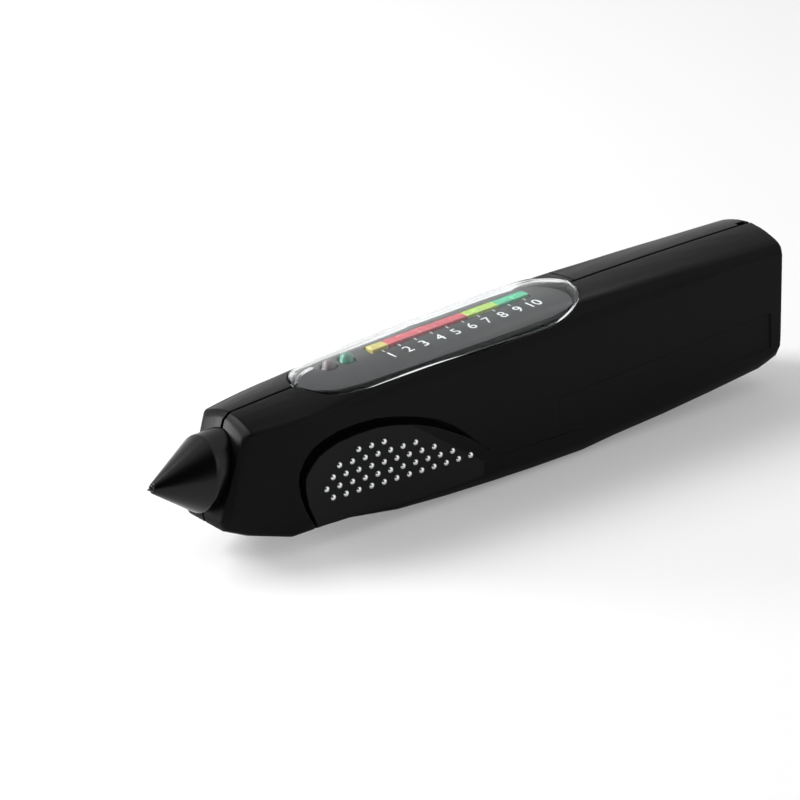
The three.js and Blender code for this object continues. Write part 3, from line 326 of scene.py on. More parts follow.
def closed_object(name, bm):
    """New object from a bmesh, its faces turned outwards."""
    bmesh.ops.recalc_face_normals(bm, faces=bm.faces)
    return mesh_object(name, bm)


def points_object(name, points):
    """New object of loose points."""
    mesh = bpy.data.meshes.new(name)
    mesh.from_pydata(points, [], [])
    return linked(name, mesh)


def loft(bm, rings):
    """Skin over rings of points, with the two ends capped."""
    rows = [[bm.verts.new(point) for point in ring] for ring in rings]
    count = len(rows[0])
    for row, following in zip(rows, rows[1:]):
        for i in range(count):
            j = (i + 1) % count
            bm.faces.new((row[i], row[j], following[j], following[i]))
    bm.faces.new(rows[0])
    bm.faces.new(rows[-1][::-1])


def ring_at(y, radii):
    """Ring of points round the Y axis, with a radius for each."""
    turns = [math.tau * i / len(radii) for i in range(len(radii))]
    return [(r * math.cos(turn), y, r * math.sin(turn)) for turn, r in zip(turns, radii)]


def evaluated(obj):
    """New mesh of what the object shows, with its modifiers done."""
    graph = bpy.context.evaluated_depsgraph_get()
    return bpy.data.meshes.new_from_object(obj.evaluated_get(graph), depsgraph=graph)


def settle(obj):
    """The object's modifiers are made part of its mesh."""
    settled = evaluated(obj)
    obj.modifiers.clear()
    obj.data = settled
    return obj


def smooth(obj, angle=SHARP):
    """Smooth shading, with edges sharper than an angle kept."""
    obj.data.shade_smooth()
    obj.data.set_sharp_from_angle(angle=angle)
    return obj


def bevelled(obj, width):
    """Small rounding along every sharp edge."""
    bevel = obj.modifiers.new("Edges", "BEVEL")
    bevel.width = width
    bevel.segments = EDGE_SEGMENTS
    bevel.limit_method = "ANGLE"
    bevel.angle_limit = SHARP
    bevel.use_clamp_overlap = False
    bevel.miter_outer = "MITER_ARC"
    obj.modifiers.new("Normals", "WEIGHTED_NORMAL").keep_sharp = True
    obj.data.shade_smooth()
    return settle(obj)


def merged_copy(node, name, change=None):
    """Copy of a solid's mesh with its loose triangles joined and its flat faces made whole."""
    bm = bmesh.new()
    bm.from_mesh(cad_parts[node].data)
    bmesh.ops.remove_doubles(bm, verts=bm.verts, dist=MERGE_DISTANCE)
    if change:
        change(bm)
    else:
        bmesh.ops.dissolve_limit(bm, angle_limit=FLAT_ANGLE, verts=bm.verts, edges=bm.edges)
    return mesh_object(name, bm)


def middle_of(node):
    """Middle of a solid's box."""
    low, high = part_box(node)
    return (low + high) / 2


def finished(obj, material, slot, *nodes, body="housing"):
    """The piece gets its material, rides on its body and stands for its solids."""
    obj.data.materials.clear()
    obj.data.materials.append(material)
    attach(obj, body)
    if nodes:
        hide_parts(*nodes)


# Nodes


def fill(tree, node, sockets):
    """Gives sockets of a node, by name or number, a link or a value."""
    for key, value in dict(sockets).items():
        if isinstance(value, bpy.types.NodeSocket):
            tree.links.new(value, node.inputs[key])
        else:
            node.inputs[key].default_value = value


def add(tree, kind, sockets=(), **settings):
    """New node with its settings and sockets. Its kind may go without a prefix."""
    prefix = "GeometryNode" if tree.type == "GEOMETRY" else "ShaderNode"
    node = tree.nodes.new(kind if "Node" in kind else prefix + kind)
    for key, value in settings.items():
        setattr(node, key, value)
    fill(tree, node, sockets)
    return node


def calc(tree, operation, *values):
    """Output of a Math node."""
    return add(tree, "ShaderNodeMath", enumerate(values), operation=operation).outputs[0]


def new_tree(name, sizes):
    """New tree and its inputs: (name, socket type, default) each, and a material."""
    tree = bpy.data.node_groups.new(name, "GeometryNodeTree")
    tree.is_modifier = True
    tree.interface.new_socket("Geometry", in_out="INPUT", socket_type="NodeSocketGeometry")
    for label, kind, default in (*sizes, ("Material", "NodeSocketMaterial", None)):
        socket = tree.interface.new_socket(label, in_out="INPUT", socket_type=kind)
        if default is not None:
            socket.default_value = default
    tree.interface.new_socket("Geometry", in_out="OUTPUT", socket_type="NodeSocketGeometry")
    return tree, tree.nodes.new("NodeGroupInput").outputs


def closed_tree(tree, given, last):
    """The tree, with an end at which all becomes real and gets the material."""
    real = add(tree, "RealizeInstances", {"Geometry": last.outputs[0]})
    dressed = add(tree, "SetMaterial", {"Geometry": real.outputs[0], "Material": given["Material"]})
    add(tree, "NodeGroupOutput", {"Geometry": dressed.outputs[0]})
    return tree


def grown(obj, tree, **values):
    """Runs a tree on the object, its inputs set by name, and keeps the result as its mesh."""
    modifier = obj.modifiers.new(tree.name, "NODES")
    modifier.node_group = tree
    named = {s.name: s.identifier for s in tree.interface.items_tree if s.in_out == "INPUT"}
    for label, value in values.items():
        modifier[named[label.replace("_", " ").capitalize()]] = value
    return settle(obj)


def repeat_tree():
    """Sets a copy of one pattern on each point of the object."""
    tree, given = new_tree("Repeat on points", [
        ("Pattern", "NodeSocketObject", None), ("Size", "NodeSocketFloat", 1.0),
    ])
    pattern = add(tree, "ObjectInfo", {"Object": given["Pattern"]})
    return closed_tree(tree, given, add(tree, "InstanceOnPoints", {
        "Points": given["Geometry"], "Instance": pattern.outputs["Geometry"], "Scale": given["Size"],
    }))


def repeated(name, places, pattern, size, material):
    """One mesh of a pattern set on each of the places. The pattern is used up."""
    obj = grown(points_object(name, places), repeat_tree(), Pattern=pattern, Size=size, Material=material)
    bpy.data.objects.remove(pattern)
    return obj


def oval_tree():
    """Turns a profile round the probe's axis. Each point of it is an oval that may lean."""
    tree, given = new_tree("Leaning ovals", [
        ("Sides", "NodeSocketInt", TURNED_SIDES), ("Axis height", "NodeSocketFloat", AXIS_Z),
    ])
    profile, sides = given["Geometry"], given["Sides"]
    size = add(tree, "AttributeDomainSize", {"Geometry": profile}, component="MESH")
    count = size.outputs["Point Count"]
    columns = calc(tree, "ADD", sides, 1)
    grid = add(tree, "MeshGrid", {"Vertices X": calc(tree, "ADD", count, 1), "Vertices Y": columns})
    index = add(tree, "InputIndex").outputs[0]
    step = calc(tree, "MODULO", index, columns)
    row = calc(tree, "FLOOR", calc(tree, "DIVIDE", index, columns))
    place = calc(tree, "MODULO", row, count)

    def sampled(value):
        """What the profile's point for this row of the grid has."""
        sockets = {"Geometry": profile, "Value": value, "Index": place}
        return add(tree, "SampleIndex", sockets, data_type="FLOAT", domain="POINT").outputs[0]

    def attribute(name):
        """Output of a Named Attribute node, for this row of the grid."""
        node = add(tree, "InputNamedAttribute", {"Name": name}, data_type="FLOAT")
        return sampled(node.outputs["Attribute"])

    position = add(tree, "InputPosition").outputs[0]
    along = sampled(add(tree, "ShaderNodeSeparateXYZ", {0: position}).outputs["X"])
    half_width, half_height, lean = (attribute(name) for name in OVAL_SIZES)
    angle = calc(tree, "MULTIPLY", calc(tree, "DIVIDE", step, sides), math.tau)
    up = calc(tree, "MULTIPLY", half_height, calc(tree, "SINE", angle))
    sway = calc(tree, "MULTIPLY", up, calc(tree, "SINE", lean))
    rise = calc(tree, "MULTIPLY", up, calc(tree, "COSINE", lean))
    point = add(tree, "ShaderNodeCombineXYZ", {
        "X": calc(tree, "ADD", along, sway),
        "Y": calc(tree, "MULTIPLY", half_width, calc(tree, "COSINE", angle)),
        "Z": calc(tree, "ADD", rise, given["Axis height"]),
    })
    placed = add(tree, "SetPosition", {"Geometry": grid.outputs["Mesh"], "Position": point.outputs[0]})
    merged = add(tree, "MergeByDistance", {"Geometry": placed.outputs[0], "Distance": MERGE_DISTANCE})
    return closed_tree(tree, given, merged)


def rounded(points, corners, steps=4):
    """Profile of (x, half width, half height, lean) points, with a radius at each listed corner."""
    made = []
    for i, point in enumerate(points):
        radius = corners.get(i, 0)
        if not radius:
            made.append(point)
            continue
        ends = []
        for other in (points[i - 1], points[(i + 1) % len(points)]):
            run = math.dist(point[:2], other[:2])
            share = min(radius / run, CORNER_SHARE) if run else 0
            ends.append([a + (b - a) * share for a, b in zip(point, other)])
        for k in range(steps + 1):
            t = k / steps
            made.append([
                (1 - t) ** 2 * a + 2 * t * (1 - t) * m + t * t * b
                for a, m, b in zip(ends[0], point, ends[1])
            ])
    return made


def turned(name, profile, tree, material, sides=TURNED_SIDES, axis_height=AXIS_Z, angle=SHARP):
    """Closed piece round the probe's axis from a closed profile."""
    obj = points_object(name, [(point[0], 0, 0) for point in profile])
    for k, label in enumerate(OVAL_SIZES, 1):
        attribute = obj.data.attributes.new(label, "FLOAT", "POINT")
        attribute.data.foreach_set("value", [point[k] for point in profile])
    grown(obj, tree, Sides=sides, Axis_height=axis_height, Material=material)
    bm = bmesh.new()
    bm.from_mesh(obj.data)
    bmesh.ops.dissolve_degenerate(bm, dist=MERGE_DISTANCE, edges=bm.edges)
    bmesh.ops.recalc_face_normals(bm, faces=bm.faces)
    bm.to_mesh(obj.data)
    bm.free()
    return smooth(obj, angle)


def round_profile(pairs):
    """Profile of a round piece from (x, radius) pairs."""
    return [(x, radius, radius, 0) for x, radius in pairs]


# Materials


def once(name, maker, *values, **named_values):
    """A material by name. When it is first asked for, the maker fills in its tree."""
    material = bpy.data.materials.get(name)
    if not material:
        material = bpy.data.materials.new(name)
        material.use_nodes = True
        maker(material.node_tree, *values, **named_values)
    return material


def dress(tree, sockets):
    """Fills in the material's shader and gives what comes out of it."""
    shader = tree.nodes["Principled BSDF"]
    fill(tree, shader, sockets)
    return shader.outputs[0]


def show(tree, last):
    """The material shows what its last node gives."""
    fill(tree, tree.nodes["Material Output"], {"Surface": last.outputs[0]})


def object_place(tree):
    """Object coordinates."""
    return add(tree, "TexCoord").outputs["Object"]


def noise(tree, scale, detail=3.0, stretch=(1, 1, 1)):
    """Output of a Noise node, with a stretch along each axis."""
    place = add(tree, "Mapping", {"Vector": object_place(tree), "Scale": stretch}).outputs[0]
    return add(tree, "TexNoise", {"Vector": place, "Scale": scale, "Detail": detail}).outputs["Fac"]


def ranged(tree, value, low, high, start=0.3, end=0.7):
    """A value from start to end made one from low to high."""
    return add(tree, "MapRange", {
        "Value": value, "From Min": start, "From Max": end, "To Min": low, "To Max": high,
    }).outputs[0]


def mixed(tree, factor, first, second):
    """Colour between two colours."""
    node = add(tree, "Mix", {"Factor": factor}, data_type="RGBA")
    a, b = [s for s in node.inputs if s.type == "RGBA"]
    a.default_value = (*first, 1)
    b.default_value = (*second, 1)
    return next(s for s in node.outputs if s.type == "RGBA")


def shade(colour, gain):
    """Colour made lighter or darker."""
    return tuple(min(1, channel * gain) for channel in colour)


def clouded(tree, cloud, colour, dark, light):
    """Colour that a noise makes darker and lighter."""
    return mixed(tree, ranged(tree, cloud, 0, 1), shade(colour, dark), shade(colour, light))


def bumped(tree, height, strength, distance):
    """Small relief for a shader's normal."""
    return add(tree, "Bump", {"Height": height, "Strength": strength, "Distance": distance}).outputs[0]


def plastic(tree, colour, roughness, sheen=0.5, grain=2600.0, relief=0.12):
    """Moulded plastic: fine spark-eroded grain, uneven gloss and a faint cloud of handling."""
    cloud = noise(tree, scale=grain / 60, detail=4.0)
    dress(tree, {
        "Base Color": clouded(tree, cloud, colour, dark=0.88, light=1.15),
        "Roughness": ranged(tree, cloud, low=roughness * 0.9, high=roughness * 1.12),
        "Normal": bumped(tree, noise(tree, grain, detail=2.0), relief, COARSE),
        "Specular IOR Level": sheen,
    })


def metal(tree, colour, roughness, stretch, relief, grain=3000.0):
    """Metal with drawn or turned marks along one axis and a faint cloud in its gloss."""
    marks = noise(tree, grain, detail=2.0, stretch=stretch)
    dress(tree, {
        "Base Color": clouded(tree, noise(tree, scale=grain / 20), colour, dark=0.92, light=1.05),
        "Roughness": ranged(tree, marks, low=roughness * 0.75, high=roughness * 1.3),
        "Normal": bumped(tree, marks, relief, FINE),
        "Metallic": 1.0,
    })


def plated(tree, colour, foot_shade_colour):
    """Bright plating on a dome, with painted shade darkening it towards its foot."""
    rim = add(tree, "Attribute", attribute_name="rim").outputs["Fac"]
    uneven = calc(tree, "ADD", rim, ranged(tree, noise(tree, scale=900.0), low=-0.06, high=0.06))
    # Painted shade: the plating's colour goes dark towards the dome's foot, where rim nears 1
    dress(tree, {
        "Base Color": mixed(tree, ranged(tree, uneven, 0, 1, start=0.74, end=1.0), colour, foot_shade_colour),
        "Roughness": ranged(tree, uneven, low=0.14, high=0.45, start=0.7, end=1.0),
        "Normal": bumped(tree, noise(tree, scale=2500.0, detail=2.0), strength=0.03, distance=FINE),
        "Metallic": 1.0,
    })


def tinted(tree, colour):
    """Tinted lamp plastic: coloured, with a glossy skin and a little depth."""
    cloud = noise(tree, scale=500.0)
    dress(tree, {
        "Base Color": clouded(tree, cloud, colour, dark=0.85, light=1.12),
        "Roughness": ranged(tree, cloud, low=0.18, high=0.3),
        "Normal": bumped(tree, noise(tree, scale=1500.0, detail=2.0), strength=0.05, distance=COARSE),
        "Subsurface Weight": 0.25,
        "Subsurface Scale": 0.0008,
        "Coat Weight": 0.1,
    })


def clear_plastic(tree, tint):
    """Clear moulded plastic that lets lamp light through to what lies under it."""
    clear = dress(tree, {
        "Base Color": (*tint, 1),
        "Roughness": ranged(tree, noise(tree, scale=260.0, detail=4.0), low=0.0, high=0.03),
        "Normal": bumped(tree, noise(tree, scale=90.0, detail=1.0), strength=0.01, distance=0.0001),
        "Transmission Weight": 1.0,
        "IOR": 1.17,
    })
    shadow = add(tree, "LightPath").outputs["Is Shadow Ray"]
    passing = add(tree, "BsdfTransparent", {"Color": (*shade(tint, gain=0.94), 1)})
    show(tree, add(tree, "MixShader", {0: shadow, 1: clear, 2: passing.outputs[0]}))


def circuit_board(tree, colour):
    """Solder mask with the faint relief and lighter green of the tracks under it."""
    place = add(tree, "Mapping", {"Vector": object_place(tree), "Scale": (1, 1, 0.001)}).outputs[0]
    tracks = add(tree, "TexBrick", {
        "Vector": place, "Scale": 260.0, "Mortar Size": 0.05,
        "Color1": (0, 0, 0, 1), "Color2": (0.2, 0.2, 0.2, 1), "Mortar": (1, 1, 1, 1),
    }).outputs["Color"]
    dress(tree, {
        "Base Color": mixed(tree, tracks, colour, shade(colour, gain=1.7)),
        "Roughness": ranged(tree, noise(tree, scale=900.0), low=0.3, high=0.42),
        "Normal": bumped(tree, tracks, strength=0.2, distance=0.00003),
    })


def cell_sleeve(tree, colour, band_colour, ends):
    """Shrunk sleeve of a battery cell: a plain colour, with a pale band near one end."""
    along = add(tree, "SeparateXYZ", {0: object_place(tree)}).outputs["X"]
    dress(tree, {
        "Base Color": mixed(tree, calc(tree, "GREATER_THAN", along, ends), colour, band_colour),
        "Roughness": ranged(tree, noise(tree, scale=700.0), low=0.22, high=0.36),
        "Normal": bumped(tree, noise(tree, scale=400.0), strength=0.08, distance=0.00005),
        "Metallic": 0.3,
    })


def pale_floor(tree, colour, lift):
    """Floor that keeps the shadow and reads as white where nothing shades it."""
    shaded = dress(tree, {"Base Color": (*colour, 1), "Roughness": 0.9, "Specular IOR Level": 0.1})
    glow = add(tree, "Emission", {"Strength": calc(tree, "MULTIPLY", seen_by_camera(tree), lift)})
    show(tree, add(tree, "AddShader", {0: shaded, 1: glow.outputs[0]}))


def seen_by_camera(tree):
    """1 for what the camera sees, also in gloss and through clear pieces."""
    path = add(tree, "LightPath")
    both = calc(tree, "MAXIMUM", path.outputs["Is Camera Ray"], path.outputs["Is Glossy Ray"])
    return calc(tree, "MAXIMUM", both, path.outputs["Is Transmission Ray"])


# Settings that a user may change


def setting_maker(kind, **options):
    """Function that makes settings of one kind."""
    def setting(name, description, default):
        """One setting that the panel shows."""
        return kind(name=name, description=description, default=default, **options)
    return setting


colour_setting = setting_maker(bpy.props.FloatVectorProperty, subtype="COLOR", size=3, min=0, max=1)
size_setting = setting_maker(bpy.props.FloatProperty, unit="LENGTH", min=0)
share_setting = setting_maker(bpy.props.FloatProperty, subtype="FACTOR", min=0, max=1)
gain_setting = setting_maker(bpy.props.FloatProperty, subtype="FACTOR", min=0, max=2)
power_setting = setting_maker(bpy.props.FloatProperty, unit="POWER")


class TesterHousing(bpy.types.PropertyGroup):
    """Finish of the housing, the cone and the grips."""

    colour: colour_setting("Housing colour", "Colour of the housing and the cone", (0.0036, 0.0037, 0.004))
    # In the grooves round the grip pads this colour is painted shade
    cone: colour_setting("Cone colour", "Colour of the nose cone and the grooves", (0.0012, 0.0012, 0.0013))
    roughness: share_setting("Roughness", "How satin the housing is", 0.33)
    sheen: share_setting("Surface reflection", "How strongly the housing reflects", 0.065)
    cone_sheen: share_setting("Cone reflection", "How strongly the cone reflects", 0.24)
    pad_sheen: share_setting("Pad reflection", "How strongly the pads reflect", 0.11)
    edge: size_setting("Edge rounding", "Radius along the housing's edges", 0.00022)
    stud_colour: colour_setting("Stud colour", "Colour of the studs' plating", (0.7, 0.71, 0.73))
    # Painted shade: this colour darkens each stud towards its foot
    stud_rim: colour_setting("Stud rim", "Colour round the foot of each stud", (0.05, 0.05, 0.052))
    stud_size: gain_setting("Stud size", "Size of the studs, as a share of the real one", 1.0)


class TesterWindow(bpy.types.PropertyGroup):
    """Window, panel and light bar."""

    tint: colour_setting("Window tint", "Colour of the clear plastic", (0.965, 0.98, 0.985))
    wall: size_setting("Window wall", "Thickness of the window", LENS_WALL)
    panel: colour_setting("Panel colour", "Colour of the plate under the window", (0.016, 0.0165, 0.017))
    marks: colour_setting("Mark colour", "Colour of the numbers and ticks", (0.6, 0.61, 0.62))
    yellow: colour_setting("Yellow", "Colour of the first segment", (0.4, 0.34, 0.06))
    red: colour_setting("Red", "Colour of segments two to six", (0.4, 0.02, 0.04))
    lime: colour_setting("Lime", "Colour of segments seven and eight", (0.27, 0.43, 0.03))
    green: colour_setting("Green", "Colour of the last two segments", (0.008, 0.34, 0.16))
    teal: colour_setting("Teal", "Colour of the ready light", (0.01, 0.14, 0.09))
    pale: colour_setting("Pale", "Colour of the battery light", (0.09, 0.07, 0.075))


class TesterInside(bpy.types.PropertyGroup):
    """Finish of the pieces inside."""

    steel: colour_setting("Steel colour", "Screws, springs and contacts", (0.56, 0.57, 0.58))
    tip: colour_setting("Tip colour", "Worn metal of the needle and the ring round it", (0.05, 0.048, 0.045))
    brass: colour_setting("Brass colour", "Barrel and contact fingers", (0.7, 0.5, 0.22))
    board: colour_setting("Board colour", "Solder mask of the boards", (0.02, 0.12, 0.05))
    sleeve: colour_setting("Sleeve colour", "Sleeves of the battery cells", (0.05, 0.12, 0.24))
    band: colour_setting("Band colour", "Pale band on the cells' sleeves", (0.62, 0.63, 0.64))
    dark: colour_setting("Dark moulding", "Knob, frame, guide and small plastic pieces", (0.02, 0.02, 0.022))


class TesterStage(bpy.types.PropertyGroup):
    """Floor, lamps and background."""

    floor: colour_setting("Floor colour", "Colour of the floor", (0.8, 0.8, 0.8))
    lift: gain_setting("Floor glow", "Light added to the floor for the camera only", 0.22)
    key: power_setting("Key lamp", "Power of the lamp behind", 9.4)
    front: power_setting("Front lamp", "Power of the lamp in front", 0.45)
    nose: power_setting("Nose lamp", "Power of the lamp left", 8)
    sky: gain_setting("Sky light", "Strength of the even light from all sides", 0.42)
    unlit: share_setting("Unlit side", "Brightness of the studio's dark side in reflections", 0.03)


SETTINGS = {
    "tester_housing": TesterHousing,
    "tester_window": TesterWindow,
    "tester_inside": TesterInside,
    "tester_stage": TesterStage,
}


class PieceOperator:
    """What every operator here shares."""

    bl_options = {"REGISTER", "UNDO"}

    def execute(self, context):
        """Runs what the operator makes."""
        self.make(context.scene)
        return {"FINISHED"}


def dark_moulding(scene):
    """Finish of the small dark pieces."""
    return once("Dark moulding", plastic, scene.tester_inside.dark, roughness=0.45)


def plain_steel(scene):
    """Finish of the screws, springs and contacts."""
    return once("Plain steel", metal, scene.tester_inside.steel, roughness=0.3, stretch=DRAWN, relief=0.06)


def pad_depth(x):
    """Depth of the grip's pad below the widest part of the side."""
    share = (FRONT_X + GRIP_REAR - x) / GRIP_LENGTH
    return PAD_REAR_DEPTH + (PAD_DEPTH - PAD_REAR_DEPTH) * share


def stud_places(side):
    """Places of the studs on the pad of one grip."""
    places = []
    for row, count in enumerate(STUD_COUNTS):
        for i in range(count):
            along = (STUD_HALF_STEPS[row] / 2 + i) * STUD_PITCH
            x = FRONT_X + STUD_FIRST + along
            face = HALF - pad_depth(x)
            z = HEIGHT * (STUD_BASE_SHARE + STUD_ROW_SHARE * row) - STUD_SLOPE_SHARE * along
            places.append(Vector((x, side * face, z)))
    return places


def without_stud_holes(bm):
    """Closes the holes behind the studs' heads, so that the pad round them is one flat face."""
    places = stud_places(1)

    def by_stud(vertex):
        """Number of the stud whose hole the point belongs to."""
        x, y, z = vertex.co
        near = (
            number for number, (px, py, pz) in enumerate(places)
            if math.hypot(x - px, z - pz) < STUD_HOLE and abs(abs(y) - py) < STUD_HOLE_REACH
        )
        return next(near, None)

    walls = []
    for face in bm.faces:
        owners = {by_stud(vertex) for vertex in face.verts}
        if len(owners) == 1 and None not in owners:
            walls.append(face)
    bmesh.ops.delete(bm, geom=walls, context="FACES")
    bmesh.ops.holes_fill(bm, edges=[edge for edge in bm.edges if edge.is_boundary], sides=0)


def finish_slot(face):
    """Material slot of a face of a half: 1 for the painted shade in the groove round the grip's pad, 2 on
    the pad, or 0.
    """
    rear = FRONT_X + GRIP_REAR + GROOVE_EDGE
    front = rear - GRIP_LENGTH - 2 * GROOVE_EDGE
    near_grip = all(front < v.co.x < rear and v.co.z < HEIGHT * GRIP_TOP_SHARE for v in face.verts)
    if not near_grip or CORNER_LEAN < abs(face.normal.y) < FACE_LEAN:
        return 0
    place = face.calc_center_median()
    depth = HALF - abs(place.y)
    if depth > GROOVE_DEPTH:
        return 0
    return 1 if depth > pad_depth(place.x) + GROOVE_EDGE else 2


def on_skin(vertex):
    """True for a point of the crown or the shoulder."""
    x, y, z = vertex.co
    inside = FRONT_X - SKIN_STEP * 2 < x < REAR_X + SNAP and abs(y) < half_width_at(x) * CREASE_SHARE + SNAP
    return inside and abs(z - skin_at(x, y)) < SKIN_REACH


def skin_faces(bm):
    """Faces of the crown and the shoulder."""
    return [face for face in bm.faces if face.normal.z > SKIN_LEAN and all(on_skin(v) for v in face.verts)]


def finer_top(bm):
    """Cuts the crown and the shoulder finely, and rounds them between the solid's own edges."""
    planes = [(Vector((FRONT_X + SKIN_STEP * k, 0, 0)), Vector((1, 0, 0)))
              for k in range(-1, int(BODY_LENGTH / SKIN_STEP))]
    planes += [(Vector((0, side * HALF * share, 0)), Vector((0, 1, 0)))
               for side in (-1, 1) for share in SKIN_CUT_SHARES]
    for place, normal in planes:
        faces = skin_faces(bm)
        parts = {*faces, *(e for f in faces for e in f.edges), *(v for f in faces for v in f.verts)}
        bmesh.ops.bisect_plane(bm, geom=list(parts), dist=SNAP, plane_co=place, plane_no=normal)
    bm.normal_update()
    for vertex in {v for face in skin_faces(bm) for v in face.verts}:
        vertex.co.z = skin_at(vertex.co.x, vertex.co.y)


def dressed_half(bm):
    """Makes a half of the housing ready for its edges to be rounded."""
    without_stud_holes(bm)
    bmesh.ops.dissolve_limit(bm, angle_limit=FLAT_ANGLE, verts=bm.verts, edges=bm.edges)
    for face in bm.faces:
        face.material_index = finish_slot(face)
    finer_top(bm)


class MakeShells(PieceOperator, bpy.types.Operator):
    """Make the two halves of the housing and the battery cover"""

    bl_idname = "tester.make_shells"
    bl_label = "Housing"

    def make(self, scene):
        settings = scene.tester_housing
        # The pad gets the housing's black made 1.6 times lighter, with its own reflection
        lighter_black = shade(settings.colour, gain=1.6)
        # The groove round each pad gets painted shade: the cone's darker black, hardly reflecting
        black, painted_groove_shade, pad = (once(name, plastic, *look, relief=0.1) for name, look in {
            "Satin black moulding": (settings.colour, settings.roughness, settings.sheen),
            "Dull black groove": (settings.cone, GROOVE_SHADE_ROUGHNESS, GROOVE_SHADE_SHEEN),
            "Rubbed black pad": (lighter_black, PAD_ROUGHNESS, settings.pad_sheen),
        }.items())
        for node, name, body in (
            ("left_shell", "left_half", "housing"),
            ("right_shell", "right_half", "housing"),
            ("battery_cover", "rear_cover", "cover"),
        ):
            shell = bevelled(merged_copy(node, name, dressed_half), settings.edge)
            slots = [face.material_index for face in shell.data.polygons]
            finished(shell, black, "housing_black", node, body=body)
            shell.data.materials.append(painted_groove_shade)
            shell.data.materials.append(pad)
            shell.data.polygons.foreach_set("material_index", slots)


def stud(side):
    """One stud: the end of a ball on a shank, pointing away from the housing."""
    bm = bmesh.new()
    low = math.asin(STUD_SINK / STUD_RADIUS)
    profile = [(-STUD_SHANK, STUD_RADIUS * math.cos(low))]
    for k in range(STUD_RINGS):
        angle = low + (math.pi / 2 - low) * k / STUD_RINGS
        profile.append((STUD_RADIUS * math.sin(angle) - STUD_SINK, STUD_RADIUS * math.cos(angle)))
    loft(bm, [ring_at(side * out, [radius] * STUD_SIDES) for out, radius in profile])
    cap = max(bm.faces, key=lambda face: side * face.calc_center_median().y)
    bmesh.ops.poke(bm, faces=[cap])
    tip = max(bm.verts, key=lambda vertex: side * vertex.co.y)
    tip.co.y = side * STUD_PROUD
    # rim: share of the radius out from the stud's axis, where the plating's painted shade grows
    rim = bm.verts.layers.float.new("rim")
    for vertex in bm.verts:
        vertex[rim] = math.hypot(vertex.co.x, vertex.co.z) / STUD_RADIUS
    return closed_object("stud_pattern", bm)


class MakeStuds(PieceOperator, bpy.types.Operator):
    """Make the metal studs in both grips"""

    bl_idname = "tester.make_studs"
    bl_label = "Grip studs"

    def make(self, scene):
        settings = scene.tester_housing
        # The plating gets painted shade round each stud's foot
        chrome = once("Bright plating", plated, settings.stud_colour, settings.stud_rim)
        for side, node, name in (
            (-1, "left_contact_plate", "left_studs"),
            (1, "right_contact_plate", "right_studs"),
        ):
            studs = repeated(name, stud_places(side), stud(side), settings.stud_size, chrome)
            finished(smooth(studs), chrome, "stud_metal", node)


class MakeNose(PieceOperator, bpy.types.Operator):
    """Make the nose cone, the ring in its tip and the needle"""

    bl_idname = "tester.make_nose"
    bl_label = "Nose and needle"

    def make(self, scene):
        tree = oval_tree()
        settings = scene.tester_housing
        gloss = settings.roughness * CONE_ROUGHNESS_SHARE
        black = once("Deep black moulding", plastic, settings.cone, gloss, settings.cone_sheen, relief=0.06)
        worn = once("Worn tip", metal, scene.tester_inside.tip, roughness=0.38, stretch=TURNED, relief=0.08)
        cone_base = CONE_FRONT + CONE_LENGTH
        guide_front = FRONT_X - GUIDE_FRONT
        hole = FERRULE_RADIUS + GAP / 2
        neck_end = FRONT_X - GAP
        cone = rounded([
            (CONE_FRONT, CONE_TIP_RADIUS, CONE_TIP_RADIUS, CONE_LEAN),
            (cone_base, CONE_HALF_WIDTH, CONE_HALF_HEIGHT, CONE_LEAN),
            (cone_base + CONE_RIM, CONE_HALF_WIDTH, CONE_HALF_HEIGHT, CONE_LEAN),
            (neck_end, NECK_HALF_WIDTH, NECK_HALF_HEIGHT, NECK_LEAN),
            (neck_end, GUIDE_BORE, GUIDE_BORE, 0),
            (guide_front - GAP, GUIDE_BORE, GUIDE_BORE, 0),
            (CONE_FRONT + CONE_WALL * 2, hole, hole, 0),
            (CONE_FRONT, hole, hole, CONE_LEAN),
        ], {0: FERRULE_EDGE, 1: CONE_EDGE, 2: CONE_EDGE})
        shell = turned("cone", cone, tree, black, NOSE_SIDES, angle=CONE_SHARP)
        finished(shell, black, "housing_black", "nose_cone")
        front = CONE_FRONT - FERRULE_PROUD
        ring = rounded(round_profile([
            (front, FERRULE_BORE), (front, FERRULE_RADIUS), (front + FERRULE_LENGTH, FERRULE_RADIUS),
            (front + FERRULE_LENGTH, FERRULE_BORE),
        ]), {0: FERRULE_EDGE, 1: FERRULE_EDGE})
        finished(turned("tip_ring", ring, tree, worn), worn, "steel", "nose_ferrule")
        needle = rounded(round_profile([
            (TIP_X, 0), (TIP_X, NEEDLE_NOSE), (TIP_X + NEEDLE_POINT, NEEDLE_RADIUS),
            (NEEDLE_HIGH.x, NEEDLE_RADIUS), (NEEDLE_HIGH.x, 0),
        ]), {1: NEEDLE_NOSE, 2: NEEDLE_RADIUS})
        finished(turned("needle", needle, tree, worn), worn, "steel", "probe_needle", body="probe")


def window_skin(x, y, half):
    """Height of the window's skin, which bulges over the housing's crown."""
    share = max(0, min(1, (half - abs(y)) / LENS_BLEND))
    front = max(0, min(1, 1 - (x - LENS_START) / LENS_BULGE_LENGTH))
    return skin_at(x, y) + (LENS_RIM + (LENS_RISE + LENS_BULGE * front) * math.sin(share * math.pi / 2))


def window_arch(x, half, wall):
    """Closed section across the window: its skin, and the wall's inner face under it."""
    spread = [math.sin(math.pi / 2 * (2 * k / LENS_ACROSS - 1)) for k in range(LENS_ACROSS + 1)]
    outer = [(x, half * s, window_skin(x, half * s, half)) for s in spread]
    inside = max(half - wall, half / 3)
    foot = skin_at(x, half) - LENS_SEAT
    inner = [(x, inside * s, max(foot, window_skin(x, inside * s, half) - wall)) for s in spread]
    inner[0] = (x, -inside, foot)
    inner[-1] = (x, inside, foot)
    return outer + [(x, half, foot)] + inner[::-1] + [(x, -half, foot)]


